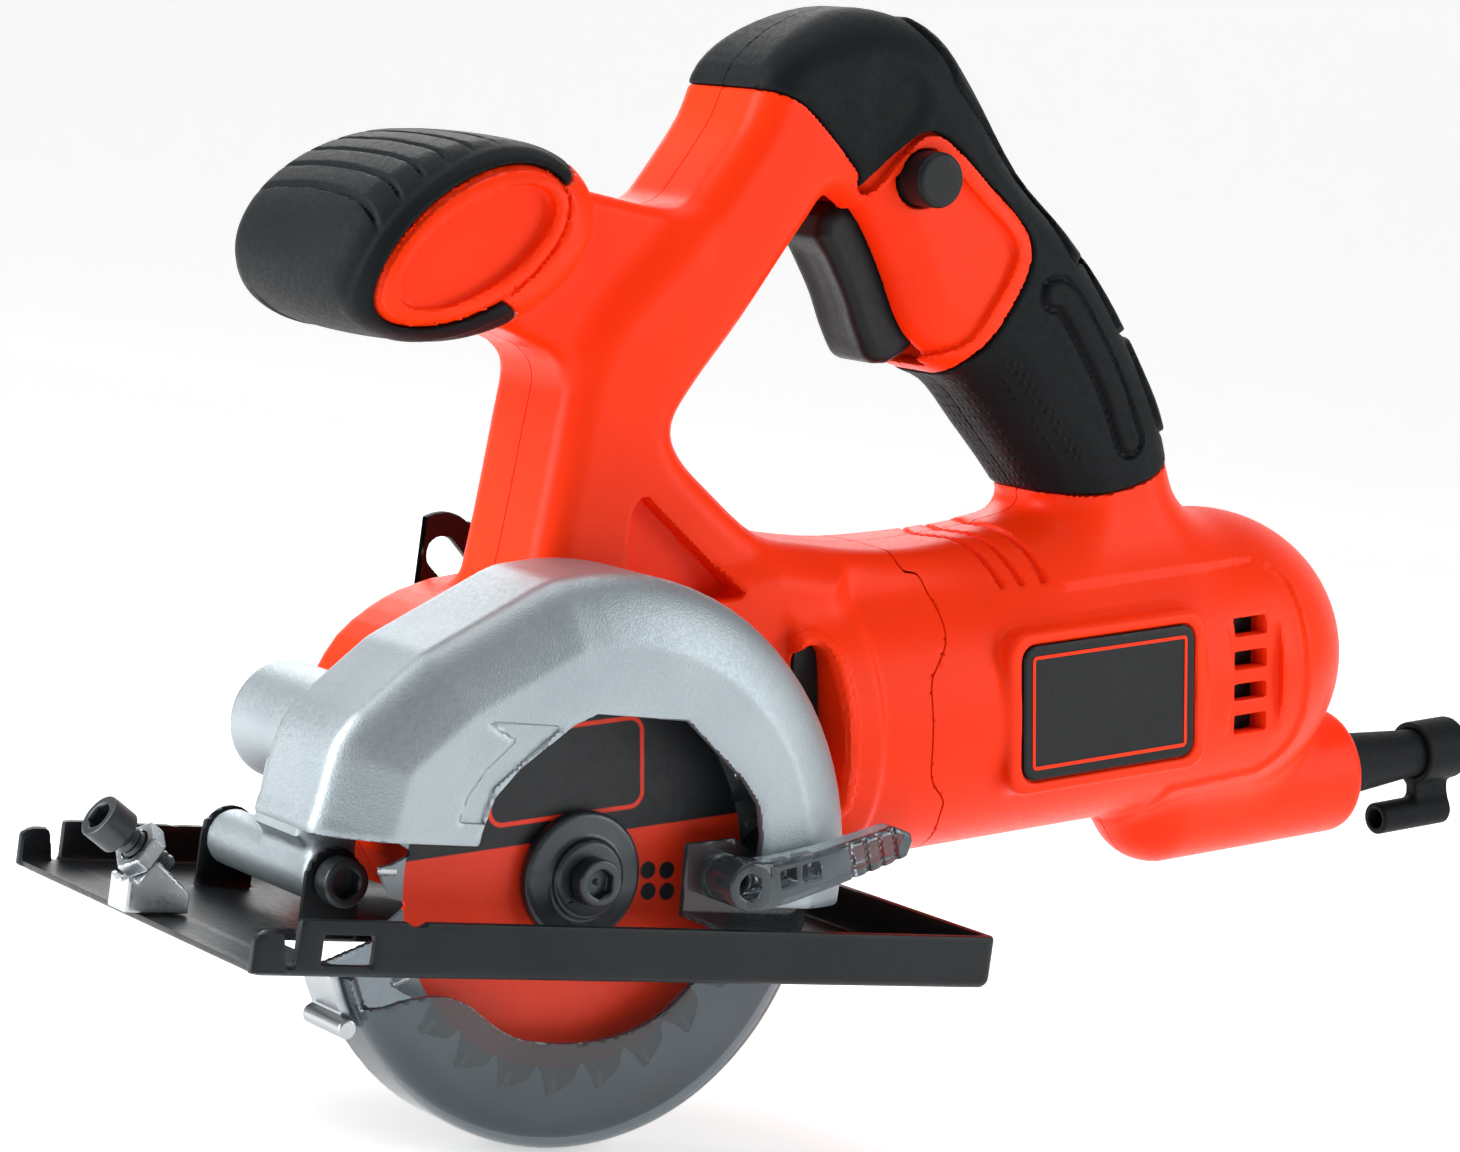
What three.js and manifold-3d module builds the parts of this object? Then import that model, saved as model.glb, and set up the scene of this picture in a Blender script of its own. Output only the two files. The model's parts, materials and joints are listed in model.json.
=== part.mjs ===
// Compact circular saw with an 85 mm blade, a D-handle and a front palm knob.
// Millimetres, +Z up. Origin: underside of the sole, below the blade axis, in the housing's mid-plane.
// +X runs towards the rear of the saw and -Y is the blade side. The saw is set to its full depth of cut.
import * as THREE from 'three';
import { mergeVertices } from 'three/addons/utils/BufferGeometryUtils.js';
import Module from 'manifold-3d';

const wasm = await Module();
wasm.setup();

// ---------------------------------------------------------------- driving dimensions
const gap = 0.3; // clearance between pieces that touch or seat on each other

const bladeR = 42.5;
const bladeDepth = 25.5; // deepest cut below the sole
const bladeT = 1.2;
const bladeTeeth = 24;
const bladeOffset = 38; // from the housing's mid-plane to the blade's mid-plane
const bodyTilt = 10; // degrees that the motor body rises towards the rear

const guardR = bladeR + 15.5; // outside of the upper guard's band
const guardFaceR = bladeR + 3; // edge of its flat near face
const guardNear = -bladeOffset - 13;
const guardBack = -bladeOffset + 17;
const guardWall = 2.4;
const guardRound = 9; // depth of the rounding from the flat face to the band

const lowerGuardR = bladeR + 9.5;
const lowerGuardInner = bladeR - 11.5; // edge of the opening in its near wall
const lowerGuardT = 1.5;
const lowerGuardNear = -bladeOffset - 8.3;
const lowerGuardBack = -bladeOffset + 10;

const soleFront = -75.5;
const soleRear = 89;
const soleNear = guardNear - 5;
const soleFar = 43;
const soleT = 2;
const soleFlange = 10.5;
const hinge = { x: -bladeR - 0.5, z: 12 }; // depth hinge, parallel to the blade axis
const hingeNear = guardBack - 1;
const hingeFar = 18;
const barrelR = 5.5;

const motorR = 31.5; // motor barrel, height direction
const motorHalf = 30; // motor barrel, half its width
const motorFront = guardR + 3.5;
const motorRear = 214;
const shellWall = 2.6;
const cordEnd = motorRear + 7; // rear face of the boss that the cord leaves
const motorRise = 15; // motor axis above the blade axis, square to the body

const frameHalf = 16.5; // half the width of the strut and handle
const knobHalf = 28;

const pivotR = 3; // lock bolt of the depth bracket
const bracketR = 73.5; // its distance from the depth hinge
const bracketNear = 31.4;
const bracketT = 2;
const depthRange = 38; // degrees from full depth to none

const axisZ = bladeR - bladeDepth;
const deg = Math.PI / 180;

// ---------------------------------------------------------------- materials
const finish = (color, roughness, metalness = 0, opacity = 1) =>
  new THREE.MeshStandardMaterial({ color, roughness, metalness, opacity, transparent: opacity < 1 });
const orange = finish(0xff4a1c, 0.42);
const rubber = finish(0x1c2124, 0.75);
const blackPlastic = finish(0x202427, 0.5);
const castMetal = finish(0xa9b6bc, 0.5, 0.8);
const blackSteel = finish(0x24292d, 0.4, 0.6);
const darkSteel = finish(0x3a4247, 0.45, 0.8);
const bareSteel = finish(0xb4bcc0, 0.35, 0.9);
const brass = finish(0xb08d57, 0.4, 0.9);
const copper = finish(0xb5653a, 0.4, 0.9);
const smoke = finish(0x3c464c, 0.2, 0, 0.55);
const bladePaint = finish(0xe8540f, 0.4, 0.3);

// ---------------------------------------------------------------- solids
// A closed solid from a geometry, with its faces turned to point outwards.
function solid(geometry) {
  const bare = geometry.clone();
  bare.deleteAttribute('normal');
  bare.deleteAttribute('uv');
  const merged = mergeVertices(bare, 1e-4);
  const v = merged.attributes.position.array;
  const t = merged.index.array;
  const kept = [];
  let volume = 0;
  for (let i = 0; i < t.length; i += 3) {
    const [a, b, c] = [t[i], t[i + 1], t[i + 2]];
    if (a === b || b === c || a === c) continue;
    kept.push(a, b, c);
    const [p, q, r] = [a, b, c].map((k) => new THREE.Vector3(v[3 * k], v[3 * k + 1], v[3 * k + 2]));
    volume += p.dot(q.cross(r));
  }
  if (volume < 0) kept.reverse();
  return new wasm.Manifold(new wasm.Mesh({
    numProp: 3, vertProperties: Float32Array.from(v), triVerts: Uint32Array.from(kept),
  }));
}

const join = (first, ...rest) => rest.reduce((whole, piece) => whole.add(piece), first);
const cut = (first, ...rest) => rest.reduce((whole, piece) => whole.subtract(piece), first);

function geometryOf(piece) {
  const { vertProperties, triVerts } = piece.getMesh();
  const geometry = new THREE.BufferGeometry();
  geometry.setAttribute('position', new THREE.BufferAttribute(Float32Array.from(vertProperties), 3));
  geometry.setIndex(new THREE.BufferAttribute(Uint32Array.from(triVerts), 1));
  geometry.computeVertexNormals();
  return geometry;
}

function place(parent, name, piece, material) {
  const mesh = new THREE.Mesh(geometryOf(piece), material);
  mesh.name = name;
  parent.add(mesh);
  return mesh;
}

const toShape = (points, holes = []) => {
  const shape = new THREE.Shape(points.map(([x, z]) => new THREE.Vector2(x, z)));
  shape.holes = holes.map((hole) => new THREE.Path(hole.map(([x, z]) => new THREE.Vector2(x, z))));
  return shape;
};

// A side outline in X and Z, given thickness from near to far along Y. round softens both rims.
function slab(points, near, far, { holes = [], round = 0, steps = 2 } = {}) {
  const geometry = new THREE.ExtrudeGeometry(toShape(points, holes), {
    depth: far - near - 2 * round, bevelEnabled: round > 0, bevelThickness: round, bevelSize: round,
    bevelOffset: -round, bevelSegments: steps, curveSegments: 8,
  });
  geometry.rotateX(Math.PI / 2);
  geometry.translate(0, far - round, 0);
  return solid(geometry);
}

function block(x0, x1, y0, y1, z0, z1) {
  const geometry = new THREE.BoxGeometry(x1 - x0, y1 - y0, z1 - z0);
  geometry.translate((x0 + x1) / 2, (y0 + y1) / 2, (z0 + z1) / 2);
  return solid(geometry);
}

// A profile of [radius, height] points turned about an axis through (x, z), or through (y, z) for axis 'x'.
function turned(profile, axis, first, second, segments = 32) {
  const points = profile.map(([r, h]) => new THREE.Vector2(r, h));
  const onAxis = profile[0][0] === 0 && profile.at(-1)[0] === 0;
  if (!onAxis) points.push(points[0].clone());
  const geometry = new THREE.LatheGeometry(points, segments);
  if (axis === 'x') {
    geometry.rotateZ(-Math.PI / 2);
    geometry.translate(0, first, second);
  } else if (axis === 'z') {
    geometry.rotateX(Math.PI / 2);
    geometry.translate(first, second, 0);
  } else {
    geometry.translate(first, 0, second);
  }
  return solid(geometry);
}

const rod = (r, from, to, axis, first, second, segments = 24) =>
  turned([[0, from], [r, from], [r, to], [0, to]], axis, first, second, segments);
const ring = (inner, outer, from, to, axis, first, second, segments = 28) =>
  turned([[inner, from], [outer, from], [outer, to], [inner, to]], axis, first, second, segments);

// Points on an arc, in degrees from +X towards +Z.
function arc(cx, cz, r, from, to, count) {
  return Array.from({ length: count + 1 }, (_, i) => {
    const a = (from + ((to - from) * i) / count) * deg;
    return [cx + r * Math.cos(a), cz + r * Math.sin(a)];
  });
}

// The same outline moved inwards by d, or outwards where d is negative.
function inset(points, d) {
  const n = points.length;
  const area = points.reduce((s, [x, z], i) => {
    const [x2, z2] = points[(i + 1) % n];
    return s + x * z2 - x2 * z;
  }, 0);
  const side = Math.sign(area) * d;
  return points.map((p, i) => {
    const before = points[(i + n - 1) % n];
    const after = points[(i + 1) % n];
    const a = new THREE.Vector2(p[0] - before[0], p[1] - before[1]).normalize();
    const b = new THREE.Vector2(after[0] - p[0], after[1] - p[1]).normalize();
    const mid = new THREE.Vector2(-a.y - b.y, a.x + b.x).normalize();
    const stretch = side / Math.max(0.5, mid.dot(new THREE.Vector2(-a.y, a.x)));
    return [p[0] + mid.x * stretch, p[1] + mid.y * stretch];
  });
}

// A smooth closed or open curve through the given points.
function smooth(points, count, closed = false) {
  const curve = new THREE.CatmullRomCurve3(
    points.map(([x, z]) => new THREE.Vector3(x, z, 0)), closed, 'centripetal');
  const spread = curve.getPoints(count).map((p) => [p.x, p.y]);
  return closed ? spread.slice(0, -1) : spread;
}

// ---------------------------------------------------------------- groups
const saw = new THREE.Group();
saw.name = 'circular_saw';
// Body coordinates: x along the motor, z square to it, both from the blade axis.
const body = new THREE.Group();
body.position.set(0, 0, axisZ);
body.rotation.y = -bodyTilt * deg;
// Casting coordinates: level with the sole, from the blade axis.
const casting = new THREE.Group();
casting.position.set(0, 0, axisZ);
const sole = new THREE.Group();
saw.add(body, casting, sole);

// ---------------------------------------------------------------- housing outlines (body coordinates)
const frameOutline = [
  [1.7, 44], ...smooth([[5.7, 51], [10.6, 69], [14.3, 83.7], [17, 92]], 5),
  [24, 103], [35, 113], [43.5, 120.6],
  ...smooth([[51, 129], [57.7, 137.5], [63, 147.5], [72, 154], [84, 157.6], [96, 156.4], [106.5, 151.5],
    [114.5, 141.5], [126, 123.5], [139.3, 110], [150, 96.6], [158.2, 83], [164, 71.5], [167.4, 59],
    [170, 50]], 15),
  [174, 38], [170, 24], [10, 24],
];
const handOpening = [
  ...smooth([[72, 53], [59.5, 56], [46, 68.5], [40.4, 73.5], [39.7, 79], [46, 87], [56, 98.4],
    [69.5, 114.4],
    [77, 121], [84, 115], [89.5, 106], [97, 92], [105, 84.5], [113.5, 79.5], [122.5, 69.5], [132, 58.5],
    [134.6, 53], [129, 50.2], [100, 49.6], [84, 50]], 22, true),
];
const knobCentre = [-10, 118.6];
const knobTilt = 12;
const knobLong = 29;
const knobHigh = 18;
const neckOutline = [[-2, 104], [12, 95.4], [20, 90], [44, 108], [46.5, 120.2], [34, 122.6], [16, 127.5],
  [-12, 128]];
const gearOutline = [
  [hinge.x + 23, -7], [hinge.x + 18, 2], [hinge.x + 17, 14],
  ...smooth([[hinge.x + 20, 27], [hinge.x + 28, 38], [-4, 44.5], [6, 47]], 5),
  [motorFront - 1.5, 50], [motorFront + 14.5, 46.4], [motorFront + 14.5, -14.8], [20, -12],
];

const knobBall = (grow) => {
  const geometry = new THREE.SphereGeometry(1, 16, 10);
  geometry.rotateX(Math.PI / 2);
  const p = geometry.attributes.position;
  for (let i = 0; i < p.count; i += 1) {
    // The ends along Y are squared off, so that the knob is a barrel for the palm.
    const y = Math.sign(p.getY(i)) * Math.abs(p.getY(i)) ** 0.72;
    const squeeze = Math.sqrt(Math.max(0, 1 - p.getY(i) ** 2)) || 1;
    const full = (1 - Math.abs(p.getY(i)) ** 3.2) ** 0.5 / squeeze;
    p.setXYZ(i, p.getX(i) * full * (knobLong - grow), y * (knobHalf + 3 - grow),
      p.getZ(i) * full * (knobHigh - grow));
  }
  geometry.rotateY(-knobTilt * deg);
  geometry.translate(knobCentre[0], 0, knobCentre[1]);
  return solid(geometry);
};

// The motor barrel's outside, drawn in by a wall where needed.
function barrel(wall) {
  const r = motorR - wall;
  const end = motorRear - wall;
  const rounding = 34;
  const dome = Array.from({ length: 4 }, (_, i) => {
    const a = (i / 4) * 90 * deg;
    return [r * Math.cos(a) ** 0.9, end - rounding + rounding * Math.sin(a)];
  });
  const flat = (motorHalf - wall) / r;
  const profile = [[0, motorFront + wall], [r - 1.5, motorFront + wall], [r, motorFront + wall + 2],
    ...dome, [0, end]];
  const geometry = new THREE.LatheGeometry(profile.map(([a, h]) => new THREE.Vector2(a, h)), 24);
  geometry.rotateZ(-Math.PI / 2);
  geometry.scale(1, flat, 1);
  geometry.translate(0, 0, motorRise);
  return solid(geometry);
}

const cordAxis = -15.5; // height of the cord boss's axis in body coordinates
const cordBossR = 14;
const cordBoss = turned([[0, cordEnd - 65], [8, cordEnd - 61], [12.5, cordEnd - 53],
  [cordBossR, cordEnd - 43],
  [cordBossR, cordEnd - 8], [11, cordEnd - 2], [8.8, cordEnd], [0, cordEnd]], 'x', 0, cordAxis, 24);

const labelBox = { x0: 112, x1: 157, z0: 1.2, z1: 29.3, depth: 1.2 };
const labelProud = 0.6; // how far the pad round the label stands out of the barrel
const padHalf = motorHalf + labelProud;
const labelPad = block(labelBox.x0 - 4, labelBox.x1 + 4, -padHalf, padHalf, labelBox.z0 - 3,
  labelBox.z1 + 3);
const gearHalfNear = -guardBack - gap;
const gearHalfFar = 29;

const outerFrame = (wall) => cut(
  slab(inset(frameOutline, wall), -frameHalf + wall, frameHalf - wall, { round: 6 - wall / 2, steps: 1 }),
  slab(inset(handOpening, -wall), -frameHalf - 1, frameHalf + 1));

const housingOuter = join(
  barrel(0), cordBoss, labelPad, knobBall(0),
  slab(gearOutline, -gearHalfNear, gearHalfFar, { round: 5, steps: 1 }),
  slab(neckOutline, -14, 14, { round: 4, steps: 1 }),
  outerFrame(0),
);
const handleHollow = slab([[82, 119], [92, 138], [104, 140], [134, 102], [149, 78], [150, 62], [141, 58],
  [120, 82],
  [103, 92]], -12.5, 12.5);
const strutHollow = slab([[12, 58], [19, 84], [44, 108], [58, 126], [60, 120], [36, 88], [31, 72],
  [42, 58]], -12.5, 12.5);
const knobHollow = slab([[-29, 112], [-24, 124], [2, 128], [8, 118], [-4, 108], [-22, 106]], -19, 19);
const motorHollow = cut(barrel(shellWall), block(-100, motorFront + 4, -60, 60, -60, 60));
const gearHollow = slab(inset(gearOutline, shellWall), -gearHalfNear + shellWall, gearHalfFar - shellWall);

// ---------------------------------------------------------------- grip cover and knob cap regions
const coverT = 2;
// Over the bend of the handle and down the back of the grip.
const coverRegion = slab([[47.5, 141.2], [54.2, 141.8], [63, 140.6], [72, 134.5], [82.5, 123.4],
  [84.8, 120.4], [95.5, 131.8],
    [101, 132.5], [108, 128.5], [123, 113.2], [125.5, 107.5], [123, 100], [112.4, 84.8], [120, 66],
      [119, 60],
    [126, 57.4], [141.7, 55.3], [166, 58.4], [180, 60], [170, 110], [120, 170], [60, 165]], -30, 30);
const coverSkin = coverRegion.intersect(outerFrame(0));
const frameCore = outerFrame(coverT);
const coverBed = cut(coverRegion, frameCore);
const gripCover = cut(coverSkin, outerFrame(coverT - gap));

const capRegion = slab([[-50, 90], [-24, 98], [-3, 101], [1, 104.6], [-16, 106.4], [-27.6, 108],
  [-33.2, 113], [-30, 121],
    [-18, 128.4], [-4, 132], [8, 130], [12, 133], [6, 145], [-50, 145]], -40, 40);
const capMiddle = slab([[-50, 90], [-3, 101], [-2, 108], [-20, 118], [-2, 126], [14, 128.6], [12, 145],
  [-50, 145]],
  -knobHalf + 6, knobHalf - 6);
const capZone = join(capRegion, capMiddle);
const knobCap = cut(capZone.intersect(knobBall(0)), knobBall(2.2 - gap),
  slab(inset(neckOutline, -gap), -14 - gap, 14 + gap));
const capBed = cut(capZone, knobBall(2.2));

// ---------------------------------------------------------------- openings through the housing
const triggerHalf = 8;
const triggerOutline = [
  [78.3, 112.8], ...smooth([[81.5, 107], [85, 100], [87.6, 93.4], [90.4, 87.6]], 5), [95, 86.2],
    [101, 88.8],
  [104.5, 93.8], [99, 103], [90.5, 118.2], [84, 119.4], [79.4, 117],
];
const triggerWell = slab([[74, 110], [88, 82], [106, 86.5], [110.4, 95], [99, 113], [89, 123.4],
  [80, 122.6]],
  -triggerHalf - gap, triggerHalf + gap);
const button = { x: 98.2, z: 124, r: 5.6 };
const buttonWell = rod(button.r + gap, -25, 9, 'y', button.x, button.z, 20);
const ventX = [motorRear - 45.8, motorRear - 36.4];
const ventFoot = 3.4;
const ventRows = 4;
const ventPitch = 6.9;
const louvre = 1.8;
const vents = Array.from({ length: ventRows }, (_, i) => {
  const z = ventFoot + i * ventPitch;
  return block(ventX[0], ventX[1], -40, 40, z, z + ventPitch - louvre);
});
const airSlot = slab([[motorFront + 0.8, 14.5], [motorFront + 4.8, 14.5], [motorFront + 4.8, 33],
  [motorFront + 0.8, 32]], -40, -22);
const ratingMargin = 4; // the rating plate is this much lower and less high than the label
const labelPocket = block(labelBox.x0, labelBox.x1, -padHalf - 3, -padHalf + labelBox.depth,
  labelBox.z0, labelBox.z1);
const ratingPocket = block(labelBox.x0, labelBox.x1, padHalf - labelBox.depth, padHalf + 3,
  labelBox.z0 + ratingMargin, labelBox.z1 - ratingMargin);
const spindleHole = rod(16, -40, 0, 'y', 0, 0, 28);
const jack = { x: Math.sqrt(16 ** 2 - motorRise ** 2), z: motorRise };
const jackHole = rod(9, -40, -10, 'y', jack.x, jack.z, 24);
const dustPort = { x: hinge.x + 10, z: 18, r: 11.7, wall: 2, far: 22 }; // in casting coordinates
const toBody = (x, z) => [x * Math.cos(bodyTilt * deg) + z * Math.sin(bodyTilt * deg),
  -x * Math.sin(bodyTilt * deg) + z * Math.cos(bodyTilt * deg)];
const portNotch = rod(dustPort.r + gap, -40, 40, 'y', ...toBody(dustPort.x, dustPort.z), 28);
const relief = { r: 8.2 };
const cordHole = rod(relief.r + gap, cordEnd - 31, cordEnd + 9, 'x', 0, cordAxis, 24);
const lock = (() => {
  const start = 12 * deg; // lowest end of the bracket's slot, seen from the depth hinge
  const [u, w] = toBody(hinge.x + bracketR * Math.cos(start), hinge.z + bracketR * Math.sin(start) - axisZ);
  return { start, u, w };
})();
const lockHole = rod(pivotR + gap, 10, 40, 'y', lock.u, lock.w, 20);

const housing = cut(housingOuter, handleHollow, strutHollow, knobHollow, portNotch, motorHollow, gearHollow,
  coverBed, capBed, triggerWell, buttonWell, ...vents, airSlot, labelPocket, ratingPocket,
  spindleHole, jackHole, cordHole, lockHole,
  block(motorFront - 1.5, motorFront + 10.5, -14, 14, motorRise - 20, motorRise + 20));
const screwSpots = [[24, 72], [64, 127], [152, 62], [70, -9], [motorRear - 18, -6]];
const screw = { shankR: 1.7, headR: 3.4, headL: 2.4, headAt: 13.5, tip: -8 };
const screwBores = screwSpots.map(([x, z]) => rod(screw.shankR + 0.5, -40, 40, 'y', x, z, 8));
const screwCountersinks = screwSpots.map(([x, z]) =>
  rod(screw.headR + 0.6, screw.headAt - screw.headL - 0.1, 40, 'y', x, z, 10));
const bored = cut(housing, ...screwBores, ...screwCountersinks);
const farSide = block(-120, 300, gap / 2, 80, -80, 220);
const nearSide = block(-120, 300, -80, -gap / 2, -80, 220);
place(body, 'housing_near', nearSide.intersect(bored), orange);
place(body, 'housing_far', farSide.intersect(bored), orange);
place(body, 'grip_cover_near', cut(nearSide.intersect(gripCover), buttonWell, ...screwBores), rubber);
place(body, 'grip_cover_far', cut(farSide.intersect(gripCover), ...screwBores, ...screwCountersinks),
  rubber);
place(body, 'knob_cap', knobCap, rubber);

const labelPlate = (z0, z1, y0, y1) => block(labelBox.x0 + gap, labelBox.x1 - gap, y0, y1, z0 + gap,
  z1 - gap);
place(body, 'label_plate', labelPlate(labelBox.z0, labelBox.z1, -padHalf,
  -padHalf + labelBox.depth - gap), blackPlastic);
place(body, 'rating_plate', labelPlate(labelBox.z0 + ratingMargin, labelBox.z1 - ratingMargin,
  padHalf - labelBox.depth + gap, padHalf), blackPlastic);

// ---------------------------------------------------------------- screws
// A cap screw with a hexagon socket, its head's top at 'from' and its tip at 'to'.
function capScrew(headR, headL, shankR, from, to, axis, first, second) {
  const way = Math.sign(to - from);
  const neck = from + way * headL;
  const profile = [[0, from], [headR, from], [headR, neck], [shankR, neck], [shankR, to], [0, to]];
  const socket = turned([[0, from - way], [headR * 0.55, from - way],
    [headR * 0.55, from + way * headL * 0.6],
    [0, from + way * headL * 0.6]], axis, first, second, 6);
  return cut(turned(profile, axis, first, second, 10), socket);
}
screwSpots.forEach(([x, z], i) => {
  place(body, `housing_screw_${i + 1}`,
    capScrew(screw.headR, screw.headL, screw.shankR, screw.headAt, screw.tip, 'y', x, z), darkSteel);
});

// ---------------------------------------------------------------- trigger, switch and lock-off button
const switchHalf = 8;
place(body, 'trigger', slab(triggerOutline, -triggerHalf, triggerHalf, { round: 2 }), blackPlastic);
place(body, 'switch_body', slab([[108, 101], [119, 110], [132, 93.5], [121, 84.5]], -switchHalf,
  switchHalf),
  blackPlastic);
place(body, 'lock_off_button', turned([[0, -21.8], [button.r - 1, -21.8], [button.r, -20.8],
  [button.r, -11],
  [3, -11], [3, 0], [0, 0]], 'y', button.x, button.z, 20), blackPlastic);

// ---------------------------------------------------------------- cord outlet
const tipR = 5.4; // outside of the strain relief at its end
const collar = { from: cordEnd + 25.5, to: cordEnd + 37, r: 6.6, bore: tipR + gap };
const reliefSkin = turned([[0, cordEnd - 5], [relief.r, cordEnd - 5], [relief.r, cordEnd + 2],
  [7.2, cordEnd + 2.2], [5.6, cordEnd + 23], [tipR, cordEnd + 24], [tipR, cordEnd + 38], [0, cordEnd + 38]],
'x', 0, cordAxis, 20);
const cordBore = rod(3.6, cordEnd - 21, cordEnd + 41, 'x', 0, cordAxis, 14);
place(body, 'strain_relief', cut(reliefSkin, cordBore), rubber);
const holder = { z: cordAxis - 13.9, r: 3.6, bore: 2.2, from: cordEnd + 15, to: cordEnd + 35 };
place(body, 'key_holder', cut(join(
  ring(collar.bore, collar.r, collar.from, collar.to, 'x', 0, cordAxis, 20),
  block(collar.from, collar.to - 1.5, -1.8, 1.8, holder.z + 2, cordAxis - collar.bore - 0.2),
  rod(holder.r, holder.from, holder.to, 'x', 0, holder.z, 16),
), rod(holder.bore, holder.from - 1, holder.to + 1, 'x', 0, holder.z, 12)), rubber);

// ---------------------------------------------------------------- motor
const stack = { from: 106, to: 144 };
const shaftR = 3.5;
const inBarrel = Math.min(motorR, motorHalf) - shellWall - gap;
const coilR = inBarrel - 3.1;
const axial = (name, piece, material) => place(body, name, piece, material);
axial('stator_core', ring(17, inBarrel, stack.from, stack.to, 'x', 0, motorRise, 28), darkSteel);
axial('field_coil_front', ring(17.5, coilR, stack.from - 9, stack.from - gap, 'x', 0, motorRise, 20),
  copper);
axial('field_coil_rear', ring(17.5, coilR, stack.to + gap, stack.to + 9, 'x', 0, motorRise, 20), copper);
axial('armature_core', ring(shaftR + gap, 16.2, stack.from, stack.to, 'x', 0, motorRise, 24), darkSteel);
const commutator = { from: 159, to: 171, r: 10 };
axial('commutator', ring(shaftR + gap, commutator.r, commutator.from, commutator.to, 'x', 0, motorRise,
  24), copper);
const fan = { from: 88, to: 96, r: coilR };
const fanBladeCount = 7;
const fanBlades = Array.from({ length: fanBladeCount }, (_, i) => {
  const blade = block(fan.from + 1.5, fan.to, -0.7, 0.7, 9, fan.r);
  return blade.rotate([(i * 360) / fanBladeCount, 0, 0]).translate([0, 0, motorRise]);
});
axial('fan', join(ring(shaftR + gap, fan.r, fan.from, fan.from + 1.6, 'x', 0, motorRise, 20),
  ring(shaftR + gap, 9.5, fan.from, fan.to, 'x', 0, motorRise, 14), ...fanBlades), blackPlastic);
const bearing = { inner: shaftR + gap, outer: 9.5, thick: 7, front: 76.5, rear: motorRear - 30 };
for (const end of ['front', 'rear']) {
  axial(`bearing_${end}`, ring(bearing.inner, bearing.outer, bearing[end], bearing[end] + bearing.thick,
    'x', 0, motorRise, 20), bareSteel);
}
for (const [name, side] of [['near', -1], ['far', 1]]) {
  const from = side * (commutator.r + gap);
  const brush = [Math.min(from, side * 19), Math.max(from, side * 19)];
  axial(`brush_${name}`, block(162.5, 167.5, ...brush, motorRise - 3, motorRise + 3), blackSteel);
  const seatEnd = side * (inBarrel - 2.6);
  const seat = [Math.min(side * 13, seatEnd), Math.max(side * 13, seatEnd)];
  axial(`brush_holder_${name}`, cut(block(160.5, 169.5, ...seat, motorRise - 5, motorRise + 5),
    block(162.5 - gap, 167.5 + gap, -21, 21, motorRise - 3 - gap, motorRise + 3 + gap)), brass);
}

// ---------------------------------------------------------------- gears
// A gear's outline: each tooth is a trapezoid, thinner than its space so that the pair runs free.
// The first tooth points along 'turn' degrees.
const gearPoints = (teeth, root, tip, turn) => Array.from({ length: teeth }, (_, i) => {
  const step = 360 / teeth;
  const at = (r, share) => {
    const a = (turn + (i + share) * step) * deg;
    return [r * Math.cos(a), r * Math.sin(a)];
  };
  return [at(root, -0.27), at(tip, -0.12), at(tip, 0.12), at(root, 0.27)];
}).flat();

// Bevel pair on square axes that meet at the jackshaft: the armature's pinion and the jackshaft's gear.
const pinionTeeth = 12;
const bevelTeeth = 24;
const pinionPitch = 5.4; // pitch radius at the pinion's large end
const bevelPitch = (pinionPitch * bevelTeeth) / pinionTeeth;
const bevelFace = 0.4; // share of the cone's length that has teeth
const coneLength = Math.hypot(pinionPitch, bevelPitch);
const toothUp = 0.75;
const toothDown = 1.05;
// A cone of teeth whose point is at the origin and whose large end is at +d along Z.
function bevelCone(teeth, d, pitch, turn) {
  const angle = Math.atan2(pitch, d);
  const tip = d * Math.tan(angle + toothUp / coneLength);
  const root = d * Math.tan(angle - toothDown / coneLength);
  const geometry = new THREE.ExtrudeGeometry(toShape(gearPoints(teeth, root, tip, turn)),
    { depth: d * bevelFace, bevelEnabled: false });
  geometry.translate(0, 0, d * (1 - bevelFace));
  const p = geometry.attributes.position;
  for (let i = 0; i < p.count; i += 1) {
    const k = p.getZ(i) / d;
    p.setXYZ(i, p.getX(i) * k, p.getY(i) * k, p.getZ(i));
  }
  return solid(geometry);
}
const bevelHub = 3.6;
const shaftNose = 1.7;
const jackR = 3;
axial('armature_pinion', cut(bevelCone(pinionTeeth, bevelPitch, pinionPitch, 0)
  .rotate([0, 90, 0]).translate([jack.x, 0, jack.z]), rod(shaftNose + gap, 0, 60, 'x', 0, motorRise,
    16)), darkSteel);
axial('armature_shaft', turned([[0, jack.x + bevelPitch * 0.62], [shaftNose, jack.x + bevelPitch * 0.62],
  [shaftNose, jack.x + bevelPitch + 1], [shaftR, jack.x + bevelPitch + 1],
    [shaftR, bearing.rear + bearing.thick],
  [0, bearing.rear + bearing.thick]],
'x', 0, motorRise, 20), bareSteel);
axial('bevel_gear', cut(join(
  bevelCone(bevelTeeth, pinionPitch, bevelPitch, 180 / bevelTeeth).rotate([90, 0,
    0]).translate([jack.x, 0, jack.z]),
  rod(6, -pinionPitch - bevelHub, -pinionPitch + 0.5, 'y', jack.x, jack.z, 20),
), rod(jackR + gap, -30, 10, 'y', jack.x, jack.z, 16)), bareSteel);

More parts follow.
